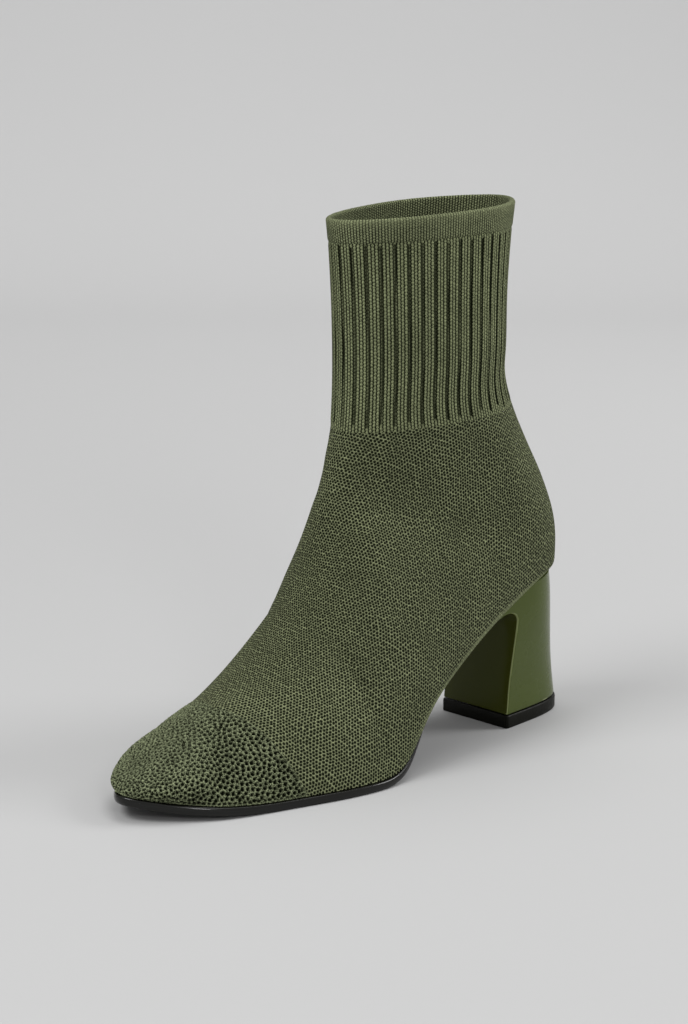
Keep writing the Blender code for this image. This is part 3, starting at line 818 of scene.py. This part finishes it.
def knit_material(name, yarn, group, settings, depth, relief):
    """Knit: the yarn's colour, with painted light on the crests of its pattern and painted shade in its dips,
    near black as painted shade in the pattern's holes and gaps and where the named relief is sunk.
    """
    material, tree, shader = new_material(name, yarn, 0.9, 0.08)
    place = add_node(tree, "ShaderNodeUVMap", uv_map="flat").outputs[0]
    body = add_node(tree, "ShaderNodeTexCoord").outputs["Object"]
    fuzz = add_node(tree, "ShaderNodeGroup", {}, node_tree=GROUPS["yarn"])
    tree.links.new(body, fuzz.inputs["Place"])
    dim, light = (tuple(c * shade for c in yarn) for shade in YARN_SHADES)
    colour = mixed(tree, fuzz.outputs["Shade"], (*dim, 1), (*light, 1))
    strand = ramp(tree, fuzz.outputs["Fibre"], 0.36, 0.62, *FIBRE_SHADES)
    colour = mixed(tree, 1.0, colour, strand, "MULTIPLY")
    height = sums(tree, "MULTIPLY", fuzz.outputs["Fibre"], 0.5)
    if group:
        pattern = add_node(tree, "ShaderNodeGroup", {}, node_tree=GROUPS[group])
        tree.links.new(place, pattern.inputs["Place"])
        for key, value in settings.items():
            pattern.inputs[key].default_value = value
        turned = add_node(tree, "ShaderNodeAttribute", attribute_name="turned").outputs["Fac"]
        open_knit = sums(tree, "SUBTRACT", 1.0, turned)
        # Painted light and shade: the pattern's crests lighter and its dips darker
        crest = ramp(tree, pattern.outputs["Height"], 0.0, 0.6, *CREST_LIGHT_AND_SHADE)
        colour = mixed(tree, 1.0, colour, crest, "MULTIPLY")
        # Painted shade: the holes and gaps of the pattern made near black
        holes = sums(tree, "MULTIPLY", pattern.outputs["Depth"], open_knit)
        colour = mixed(tree, holes, colour, (*HOLE_PAINTED_SHADE, 1))
        height = sums(tree, "ADD", height, sums(tree, "MULTIPLY", pattern.outputs["Height"], open_knit))
    if relief:
        # Painted shade: the sunk relief named by the attribute made near black
        sunk = add_node(tree, "ShaderNodeAttribute", attribute_name=relief).outputs["Fac"]
        colour = mixed(tree, sunk, colour, (*HOLE_PAINTED_SHADE, 1))
    tree.links.new(colour, shader.inputs["Base Color"])
    bumped(tree, shader, height, depth)
    return material


def gloss_material(name, colour, roughness, coat, grain, depth, gloss):
    """Lacquer or moulded rubber: an even colour with a faint change of gloss and a shallow grain."""
    material, tree, shader = new_material(name, colour, roughness, gloss, coat)
    shader.inputs["Coat Roughness"].default_value = 0.06
    place = add_node(tree, "ShaderNodeTexCoord").outputs["Object"]
    noise = cloud(tree, place, grain, 4.0)[0]
    dim = tuple(c * GRAIN_SHADE for c in colour)
    tree.links.new(mixed(tree, noise, (*dim, 1), (*colour, 1)), shader.inputs["Base Color"])
    uneven = ramp(tree, noise, 0.3, 0.7, *(roughness * k for k in GRAIN_SPREAD))
    tree.links.new(uneven, shader.inputs["Roughness"])
    bumped(tree, shader, noise, depth)
    return material


YARN = (0.188, 0.208, 0.112)
TOE_YARN = (0.142, 0.161, 0.091)
RIB_YARN = (0.172, 0.191, 0.102)
BAND_YARN = (0.150, 0.166, 0.090)
LINING_YARN = (0.110, 0.120, 0.070)
FOLD_YARN = (0.110, 0.120, 0.075)
BAND_STITCH = {"Across": 0.00125, "Along": 0.0011}
KNITS = (
    # name, yarn, pattern and its settings, depth of the relief, sunk relief of the mesh (painted shade)
    ("body knit", YARN, "pin", {}, 0.0006, None),
    ("toe knit", TOE_YARN, "pin", NET_YARN, 0.0005, "hole"),
    ("rib knit", RIB_YARN, "stitch", {"Along": 0.0014}, 0.0006, "groove"),
    ("band knit", BAND_YARN, "stitch", BAND_STITCH, 0.0005, None),
    ("lining knit", LINING_YARN, "stitch", {"Across": 0.0014}, 0.0004, None),
    ("turned edge", FOLD_YARN, None, {}, 0.0002, None),
)
body_knit, toe_knit, rib_knit, band_knit, lining_knit, fold_knit = (knit_material(*row) for row in KNITS)

OLIVE = (0.060, 0.080, 0.015)
# Painted highlight: a lighter olive for the faces of the heel's edge
OLIVE_PAINTED_HIGHLIGHT = (0.170, 0.200, 0.062)
# Painted shade: a darker olive for the faces of the heel's breast
OLIVE_PAINTED_SHADE = (0.042, 0.048, 0.007)
SOLE_BLACK = (0.003, 0.003, 0.002)
TIP_BLACK = (0.003, 0.003, 0.0012)
BOARD_OLIVE = (0.045, 0.047, 0.030)
GLOSSES = (
    # name, colour, roughness, coat, scale and depth of the grain, gloss
    ("olive lacquer", OLIVE, 0.25, 0.08, 90.0, 0.00002, 0.14),
    ("lacquered edge with painted highlight", OLIVE_PAINTED_HIGHLIGHT, 0.2, 0.3, 90.0, 0.00002, 0.4),
    ("breast lacquer with painted shade", OLIVE_PAINTED_SHADE, 0.10, 0.03, 60.0, 0.00003, 0.08),
    ("sole edge", SOLE_BLACK, 0.18, 0.10, 400.0, 0.00001, 0.3),
    ("tip rubber", TIP_BLACK, 0.45, 0.0, 700.0, 0.00006, 0.12),
    ("covered board", BOARD_OLIVE, 0.75, 0.0, 1500.0, 0.00010, 0.5),
)
lacquer, edge_painted_highlight, breast_painted_shade, sole_black, tip_black, board = (
    gloss_material(*row) for row in GLOSSES
)


# Pieces of the knitted upper


def net_holes(points, pitch):
    """Where the holes of the open net lie: places thrown at random on the surface, evenly by its area, each
    kept if no earlier hole lies closer than the pitch there. Each is then moved a few times to the middle of
    the part of the surface that lies nearest to it, so that the net evens out."""
    chance = np.random.default_rng(7)
    flat = points.reshape(-1, 3)
    area = np.linalg.norm(np.cross(np.gradient(points, axis=0), np.gradient(points, axis=1)), axis=-1)
    tries = chance.choice(len(flat), NET_DARTS, p=(area / area.sum()).ravel())
    spots, gaps = flat[tries], pitch.ravel()[tries]
    kept, near = [], {}
    for spot, gap in zip(spots.tolist(), gaps.tolist()):
        cell = tuple(int(v // NET_PITCH[1]) for v in spot)
        around = [
            other
            for i in (-1, 0, 1)
            for j in (-1, 0, 1)
            for k in (-1, 0, 1)
            for other in near.get((cell[0] + i, cell[1] + j, cell[2] + k), ())
        ]
        if all(sum((p - q) ** 2 for p, q in zip(spot, other)) > gap * gap for other in around):
            near.setdefault(cell, []).append(spot)
            kept.append(spot)
    pull = (area / pitch**4).ravel()
    for _ in range(NET_ROUNDS):
        owner = nearest(kept, flat)[0]
        whole = np.maximum(np.bincount(owner, pull, len(kept)), 1e-12)
        kept = np.stack([np.bincount(owner, pull * flat[:, k], len(kept)) / whole for k in range(3)], -1)
    return kept


def nearest(spots, places):
    """Which of the spots lies nearest to each place, and how far away."""
    tree = KDTree(len(spots))
    for k, spot in enumerate(spots):
        tree.insert(spot, k)
    tree.balance()
    found = [tree.find(place)[1:] for place in places.tolist()]
    return np.array([k for k, _ in found]), np.array([distance for _, distance in found])


def toe_trim(rows, shares):
    """How far the knit stands off the last on its inner side: a sum of three bells along the rows, flatter at
    the tip and past the seam and fuller between."""
    across = smooth((shares - TRIM_SIDE[0]) / TRIM_SIDE[1]) * smooth((TRIM_EDGE[0] - shares) / TRIM_EDGE[1])
    return sum(out * np.exp(-(((rows - at) / reach) ** 2)) for at, reach, out in TOE_TRIM) * across


def toe_piece():
    """The toe zone: a coarse, open net. Each hole is a round pit, and the yarn between them stands up."""
    rows = np.linspace(0, 1, NET_STEPS[0]) ** 1.25 * TOE_SEAM
    shares = np.linspace(0, 1, NET_STEPS[1])
    rows, shares = np.meshgrid(rows, shares, indexing="ij")
    bent = swept(rows, shares)
    places = flattened(bent, shares)
    level = last.at(bent, shares)
    outer = smooth((rows / TOE_SEAM - 0.10) / 0.4) * smooth((0.70 - shares) / 0.40)
    pitch = NET_PITCH[0] + (NET_PITCH[1] - NET_PITCH[0]) * outer
    holes = net_holes(level, pitch)
    size = NET_SIZES[0] + NET_SIZES[1] * np.random.default_rng(3).random(len(holes))
    ragged = np.stack([soft_noise(places, 0.0009, salt) - 0.5 for salt in (31, 32, 33)], -1) * NET_ROUGH
    owner, away = nearest(holes, (level + ragged).reshape(-1, 3))
    away = away.reshape(rows.shape)
    radius = NET_HOLE * pitch * size[owner].reshape(rows.shape)
    hole = smooth((radius - away) / NET_RIM + 0.5)
    crown = smooth((away - radius) / NET_CROWN_RUN)
    edge = np.minimum(shares, 1 - shares)
    fade = smooth(edge / 0.012) * smooth((TOE_SEAM - rows) / 0.003) * smooth(rows / 0.002)
    step = 0.3 * TOE_STEP * smooth(rows / 0.02) * smooth(edge / 0.004)
    step = step * smooth((TOE_SEAM - rows) / 0.003)
    out = step + toe_trim(bent, shares) + (NET_CROWN * crown - NET_DEPTH * radius * hole) * fade
    out = out + NET_FUZZ * (soft_noise(places, 0.0008, 5) - 0.5) * fade
    points = last.at(bent, shares, out)
    # The hole mask also paints the pits near black in the material: painted shade
    return lay_mesh("toe_knit", points, toe_knit, pole=True, places=places, values={"hole": hole * fade})


def body_piece():
    """The foot and ankle: fine knit with pin-holes, taut over the last, with a faint unevenness."""
    foot = np.linspace(TOE_SEAM, 1, 190)
    ankle = np.linspace(1, RIB_START, 80)[1:]
    rows, shares = np.meshgrid(np.r_[foot, ankle], np.linspace(0, 1, 281), indexing="ij")
    bent = swept(rows, shares)
    places = flattened(bent, shares)
    edge = np.minimum(shares, 1 - shares)
    out = BODY_UNEVEN * (soft_noise(places, 0.013, 7) - 0.5) * smooth(edge / 0.05)
    out = out * smooth((RIB_START - rows) / 0.05)
    points = last.at(bent, shares, out + toe_trim(bent, shares))
    points[rows[:, 0] >= 1, -1] = points[rows[:, 0] >= 1, 0]
    turned = TURNED_PLAIN * smooth((0.029 - edge) / 0.009)
    turned = turned * smooth((rows - 0.45) / 0.15) * smooth((1.06 - rows) / 0.03)
    return lay_mesh("body_knit", points, body_knit, places=places, values={"turned": turned})


def climbed(points):
    """How far each point of a grid is from the first row, measured up its own column."""
    steps = np.linalg.norm(np.diff(points, axis=0), axis=-1)
    return np.r_[np.zeros((1, points.shape[1])), np.cumsum(steps, axis=0)]


def rib_piece():
    """The ribbed shaft: ribs of three wales with a sunk wale between, from the ankle to the folded band. A
    groove is a narrow bell across, and starts and ends at its own height: an even gap, for every second
    one at its foot a larger one, and a part by chance."""
    columns = RIB_COUNT * 12
    rows = np.linspace(RIB_START, BAND_START + 0.004, 150)
    rows, shares = np.meshgrid(rows, np.linspace(0, 1, columns + 1), indexing="ij")
    climb = climbed(last.at(rows, shares))
    whole = climb[-1:]
    wander = GROOVE_WANDER * (soft_noise(np.stack([shares * 40, climb * 60], -1), 1.0, 11) - 0.5)
    at = shares * RIB_COUNT + wander * np.sin(pi * shares) ** 0.5
    rib = np.round(at)
    away = np.abs(at - rib)
    cells = np.stack([rib % RIB_COUNT, np.zeros_like(rib)], -1)
    top = whole - GROOVE_TOP[0] - GROOVE_TOP[1] * scatter(cells, 3)
    foot = GROOVE_FOOT[0] + GROOVE_FOOT[1] * (rib % 2) + GROOVE_FOOT[2] * scatter(cells, 4)
    long = smooth((top - climb) / GROOVE_ENDS[0]) * smooth((climb - foot) / GROOVE_ENDS[1])
    width = GROOVE_WIDTH + GROOVE_SPREAD * scatter(cells, 5)
    groove = np.exp(-((away / width) ** 2)) * long
    crest = (1 - (2 * away) ** 2) * smooth(climb / 0.004) * smooth((whole - climb) / 0.003)
    rear = smooth((np.abs(shares - 0.5) - 0.22) / 0.15)
    out = RIB_CREST * crest - (GROOVE_DEPTH + GROOVE_MORE * rear) * groove
    wales = shares * RIB_COUNT * WALES_PER_RIB
    places = np.stack([(wales + 0.5) * STITCH_ACROSS, climb], -1)
    points = last.at(rows, shares, out)
    # The groove's bell also paints the grooves near black in the material: painted shade
    values = {"groove": groove * 0.95}
    return lay_mesh("rib_knit", points, rib_knit, closed=True, places=places, values=values)


def collar_piece():
    """The folded band at the collar: up the outside, round the lip in a half circle, and down inside."""
    columns = 288
    shares = np.linspace(0, 1, columns + 1)
    foot = BAND_START + (2 - BAND_START) * np.array([0.0, 0.02, 0.05, 0.10])
    outside = np.r_[foot, np.linspace(BAND_START, 2, 24)[4:]]
    swell = BAND_STEP * np.r_[0.15, 0.40, 0.55, 0.62, np.linspace(0.65, 1.0, 20)]
    inside = np.linspace(2, BAND_START - 0.03, 26)[1:]
    lip = (WALL + BAND_STEP) / 2
    turns = np.radians(np.linspace(0, 180, 15)[1:])
    rings = [last.at(row, shares, out) for row, out in zip(outside, swell)]
    for turn in turns:
        ring = last.at(2.0, shares, BAND_STEP - lip + lip * np.cos(turn))
        ring[:, 2] += lip * np.sin(turn)
        rings.append(ring)
    rings += [last.at(row, shares, -WALL) for row in inside]
    points = np.array(rings)
    climb = climbed(points)
    places = np.stack([np.broadcast_to(shares * last.girths[-1], climb.shape), climb], -1)
    crown = len(outside)
    bead = np.exp(-(((climb - climb[crown : crown + 1]) / LIP_BEAD) ** 2))
    points[..., 2] += LIP_FUZZ * (soft_noise(places, 0.0016, 21) - 0.5) * bead
    values = {"turned": LIP_PLAIN * bead}
    return lay_mesh("collar_band", points, band_knit, closed=True, places=places, values=values)


def lining_piece():
    """The inside of the knit, the wall's thickness in from the outside, from the band down to the board."""
    rows = np.r_[np.linspace(BAND_START, 1.0, 60), np.linspace(0.985, 0.03, 60)]
    shares = np.linspace(0, 1, 161)
    grid_rows, grid_shares = np.meshgrid(rows, shares, indexing="ij")
    points = last.at(grid_rows, grid_shares, -WALL)
    share = low_share(np.minimum(rows, 1))
    for k, side in ((0, 1), (-1, -1)):
        low = rows <= 1
        points[low, k, :2] = outline_edge(share[low], side, tuck(share[low]) + WALL)[0]
        points[low, k, 2] = sole_top(share_at(points[low, k, 1])) + CLEARANCE
    points[rows >= 1, -1] = points[rows >= 1, 0]
    girth = np.interp(rows, last.rows, last.girths)[:, None]
    climb = climbed(points[:, 80:81])
    places = np.stack([(shares - 0.5) * girth, np.broadcast_to(climb, points.shape[:2])], -1)
    return lay_mesh("lining", points, lining_knit, places=places)


def dense_stations(count):
    """Shares from 0 to 1, close together at both ends: even ones less part of a full sine."""
    even = np.linspace(0, 1, count)
    return even - END_CROWDING * np.sin(2 * pi * even) / (2 * pi)


def paired_ring(y, inward, more_inward, height, more_height):
    """A closed line round the moved outline at these places along it, the outer side first. How far inward
    and how high it lies are functions of the share of the length, each with an even addition."""
    share = dense_stations(800)
    sides = []
    for side in (1, -1):
        plan = outline_edge(share, side, inward(share) + more_inward)[0]
        reach = np.clip(y, plan[0, 1], plan[-1, 1])
        x = np.interp(reach, plan[:, 1], plan[:, 0])
        sides.append(np.column_stack([x, reach, height(share_at(reach)) + more_height]))
    return np.concatenate([sides[0], sides[1][::-1], sides[0][:1]])


def turned_edge_piece():
    """The knit turned in under the last, a strip round the outline just over the sole."""
    y = along(dense_stations(160))
    points = np.array([paired_ring(y, tuck, depth, sole_top, CLEARANCE) for depth in TURNED_STRIP])
    return lay_mesh("turned_edge", points, fold_knit, places=np.zeros(points.shape[:2] + (2,)))


# Pieces of the sole and heel


def closed_stack(name, rings, material):
    """A solid of closed rings laid over each other, each a front-to-back line and its pair back to the front.
    Both lids are strips across from each point to its pair."""
    rings = np.array(rings)
    levels, count = len(rings), rings.shape[1] - 1
    half = count // 2
    points = rings[:, :-1].reshape(-1, 3)
    index = np.arange(levels * count).reshape(levels, count)
    ahead = np.roll(index, -1, axis=1)
    walls = np.stack([index[:-1], index[1:], ahead[1:], ahead[:-1]], -1).reshape(-1, 4)
    faces = walls.tolist()
    for level, flip in ((0, False), (levels - 1, True)):
        outer, inner = index[level, :half], index[level, half:][::-1]
        strip = np.stack([outer[:-1], outer[1:], inner[1:], inner[:-1]], -1)
        faces += (strip[:, ::-1] if flip else strip).tolist()
    data = bpy.data.meshes.new(name)
    data.from_pydata((points + PLACE).tolist(), [], faces)
    finish_solid(data)
    return placed(name, data, material)


def finish_solid(data):
    """Merges doubled points, turns the faces out and shades the mesh smooth up to its sharp edges."""
    shape = bmesh.new()
    shape.from_mesh(data)
    bmesh.ops.remove_doubles(shape, verts=shape.verts, dist=1e-6)
    bmesh.ops.dissolve_degenerate(shape, edges=shape.edges, dist=1e-7)
    bmesh.ops.recalc_face_normals(shape, faces=shape.faces)
    shape.to_mesh(data)
    shape.free()
    data.shade_smooth()
    data.set_sharp_from_angle(angle=SHARP_ANGLE)


def sole_inset(share):
    """The outsole stands out from the upper round the forefoot and slips under it at the waist."""
    blend = smooth((share - SLIP_START) / SLIP_RUN)
    return tuck(share) + WAIST_INSET * blend - SOLE_EDGE * (1 - blend)


def sole_thickness(share):
    """Full at the tread, and thinner from the waist back."""
    return SOLE_THICKNESS + (WAIST_THICKNESS - SOLE_THICKNESS) * smooth((share - THIN_START) / THIN_RUN)


def outsole_piece():
    """The unit sole from the toe to the heel's throat: its outline at a few depths, moved in above and below
    by the two small rounds of the edge."""
    share = dense_stations(220)
    ahead = -SOLE_EDGE / LENGTH * (1 - np.linspace(0, 1, 14)[:-1] ** 2)
    y = np.r_[along(np.r_[ahead, share[share < THROAT_SHARE - 0.004]]), along(THROAT_SHARE) - CLEARANCE]
    rings = []
    for down, inset in SOLE_PROFILE:
        ring = paired_ring(y, sole_inset, inset * SOLE_ROUND, sole_top, 0.0)
        ring[:, 2] -= down * sole_thickness(share_at(ring[:, 1]))
        rings.append(ring)
    return closed_stack("sole_unit", rings, sole_black)


def heel_half(y, back_y):
    """Half width of the block at a place along it, a tapered D."""
    front_y = along(BREAST_SHARE)
    reach = (y - front_y) / (back_y - front_y)
    return HEEL_WIDTH / 2 * (1 - HEEL_TAPER * reach) * np.sqrt(1 - np.clip(reach, 0, 1) ** PLAN_POWER)


def heel_ring(level, inset):
    """The block's outline at a level, 0 on the tip and 1 at the seat."""
    fore = np.r_[np.linspace(0, 0.03, 10)[:-1], 0.03 + 0.97 * (1 - (1 - np.linspace(0, 1, 52)) ** 2)]
    back_low, back_high = along(1) + HEEL_BACK, along(1) - TUCK - SEAT_INSET
    back_y = back_low + (back_high - back_low) * level
    low = TIP_THICKNESS + CLEARANCE
    top = sole_top(np.array([THROAT_SHARE]))[0]
    under = (top - THROAT_HEIGHT - low) / (top - low)
    curl = np.clip((level - (under - THROAT_RADIUS / top)) / (THROAT_RADIUS / top), 0, 1)
    front_y = along(BREAST_SHARE) + HEEL_HOLLOW * np.sin(HOLLOW_TURN * min(level / under, 1))
    front_y = front_y + (along(THROAT_SHARE) - front_y) * (1 - np.sqrt(1 - curl**2))
    y = front_y + inset + (back_y - inset - front_y - inset) * fore
    behind = (y - along(THROAT_SHARE)) / (back_y - along(THROAT_SHARE))
    flare = smooth((level - FLARE_START) / (1 - FLARE_START))
    flare = flare * (FLARE_FRONT + (1 - FLARE_FRONT) * smooth(behind / FLARE_REACH))
    rings = []
    for side in (1, -1):
        block = heel_half(y, back_y - inset) - inset
        share = np.clip(share_at(y), 0, 1)
        k = 0 if side > 0 else 1
        reach = np.clip((y - along(CUP_START)) / (back_y - inset - along(CUP_START)), 0, 1)
        cup = (half_widths(np.full(len(y), CUP_WIDEST))[k] - TUCK - SEAT_INSET) * np.sqrt(1 - reach**4)
        corner = EDGE_ROUND * (1 - quarter_round((y - front_y) / EDGE_ROUND))
        x = np.maximum(block + (cup - block) * flare - corner, 0)
        x[-1] = 0
        z = low + (sole_top(share) - low) * level
        rings.append(np.column_stack([side * x, y, z]))
    return np.concatenate([rings[0], rings[1][::-1], rings[0][:1]])


def heel_piece():
    """The lacquered block: its outline at close levels from the tip to the seat, with a fine round on its
    edges. Faces that look forward or down are the breast, given a darker lacquer as painted shade, and
    those turned a little aside its edge, given a lighter one as a painted highlight."""
    levels = np.unique(np.r_[0, 0.006, EDGE_LEVEL, np.linspace(0.03, 0.7, 24), np.linspace(0.7, 1, 36)])
    rings = [heel_ring(level, HEEL_CHAMFER * (1 - quarter_round(level / EDGE_LEVEL))) for level in levels]
    heel = closed_stack("heel_block", rings, lacquer)
    heel.data.materials.append(breast_painted_shade)
    heel.data.materials.append(edge_painted_highlight)
    # Painted shade on the faces of the breast, a painted highlight on the faces of its edge
    for face in heel.data.polygons:
        across = abs(face.normal.x)
        if min(face.normal.y, face.normal.z) < BREAST_FACING and across < EDGE_ACROSS:
            face.material_index = 1 if across < BREAST_ACROSS else 2
    return heel


def tip_piece():
    """The rubber tip: the block's lowest outline carried to the floor, round at its rims."""
    rings = []
    for up, inset in TIP_PROFILE:
        ring = heel_ring(0.0, HEEL_CHAMFER * inset - TIP_EDGE)
        ring[:, 2] = up * TIP_THICKNESS
        rings.append(ring)
    return closed_stack("tip_block", rings, tip_black)


# Floor, light and camera


def studio_floor(turn):
    """A pale sheet: level under the boot, then a quarter circle up far behind it and a straight wall. It is
    a little lighter far away."""
    bend = np.linspace(0, pi / 2, 24)[1:]
    far = PAPER_LEVEL[1]
    run = np.r_[np.linspace(*PAPER_LEVEL, 30), far + PAPER_BEND * np.sin(bend), np.full(12, far + PAPER_BEND)]
    wall = PAPER_BEND + np.linspace(0, PAPER_WALL, 13)[1:]
    rise = np.r_[np.zeros(30), PAPER_BEND - PAPER_BEND * np.cos(bend), wall]
    across = np.linspace(-PAPER_HALF, PAPER_HALF, 9)
    ahead = np.array([-sin(turn), cos(turn)])
    side = np.array([cos(turn), sin(turn)])
    plan = run[:, None, None] * ahead + across[None, :, None] * side
    points = np.concatenate([plan, np.broadcast_to(rise[:, None, None], plan.shape[:2] + (1,))], -1)
    material, tree, shader = new_material("pale paper", PAPER_GREY, 0.9, 0.2)
    place = add_node(tree, "ShaderNodeUVMap", uv_map="flat").outputs[0]
    away = sums(tree, "ABSOLUTE", add_node(tree, "ShaderNodeSeparateXYZ", {0: place}).outputs["Y"])
    shade = ramp(tree, away, *PAPER_RAMP, *PAPER_SHADE)
    tree.links.new(shade, shader.inputs["Base Color"])
    places = np.stack(np.broadcast_arrays(across[None], run[:, None]), -1)
    floor = lay_mesh("paper_floor", points - PLACE, material, flip=True, places=places)


def soft_light(name, at, to, size, power):
    """A round soft lamp, turned to a point."""
    data = bpy.data.lights.new(name, "AREA")
    data.shape = "DISK"
    data.size = size
    data.energy = power
    lamp = placed(name, data)
    lamp.location = at
    lamp.rotation_euler = (to - at).to_track_quat("-Z", "Y").to_euler()


def camera_view():
    """The photograph's view: the turn, rise, distance and lens that fit the boot's outline."""
    target = Vector(CAMERA_TARGET) + Vector(PLACE)
    level = cos(CAMERA_RISE)
    back = Vector((sin(CAMERA_TURN) * level, -cos(CAMERA_TURN) * level, sin(CAMERA_RISE)))
    data = bpy.data.cameras.new("camera")
    data.lens = CAMERA_LENS
    data.sensor_width = 36
    data.clip_end = 30
    camera = placed("camera", data)
    camera.location = target + back * CAMERA_DISTANCE
    camera.rotation_euler = back.to_track_quat("Z", "Y").to_euler()
    bpy.context.scene.camera = camera


def light_studio(turn):
    """Even light from a pale room, and four soft lamps: a large one over the camera's left, one from above,
    one from behind on the right and a small one in front for the edges."""
    world = bpy.data.worlds.new("room")
    world.use_nodes = True
    world.node_tree.nodes["Background"].inputs["Color"].default_value = (1, 1, 1, 1)
    world.node_tree.nodes["Background"].inputs["Strength"].default_value = ROOM_LIGHT
    bpy.context.scene.world = world
    side = Vector((cos(turn), sin(turn), 0))
    front = Vector((sin(turn), -cos(turn), 0))
    for name, (ahead, right, up), aim, size, power in LAMPS:
        soft_light(name, front * ahead + side * right + Vector((0, 0, up)), Vector((0, 0, aim)), size, power)
    bpy.context.scene.view_settings.view_transform = "Standard"


# The boot put together


for piece, node, slot in (
    (toe_piece(), "upper", "knit"),
    (body_piece(), "upper", "knit"),
    (rib_piece(), "upper", "knit"),
    (collar_piece(), "upper", "knit"),
    (lining_piece(), "upper", "knit"),
    (turned_edge_piece(), "upper", "knit"),
    (outsole_piece(), "outsole", "sole_rubber"),
    (heel_piece(), "heel", "heel_lacquer"),
    (tip_piece(), "heel_tip", "tip_rubber"),
):
    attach(piece, "root")
    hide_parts(node)
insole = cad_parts["insole"]
insole.data.materials.clear()
insole.data.materials.append(board)

camera_view()
studio_floor(CAMERA_TURN)
light_studio(CAMERA_TURN)
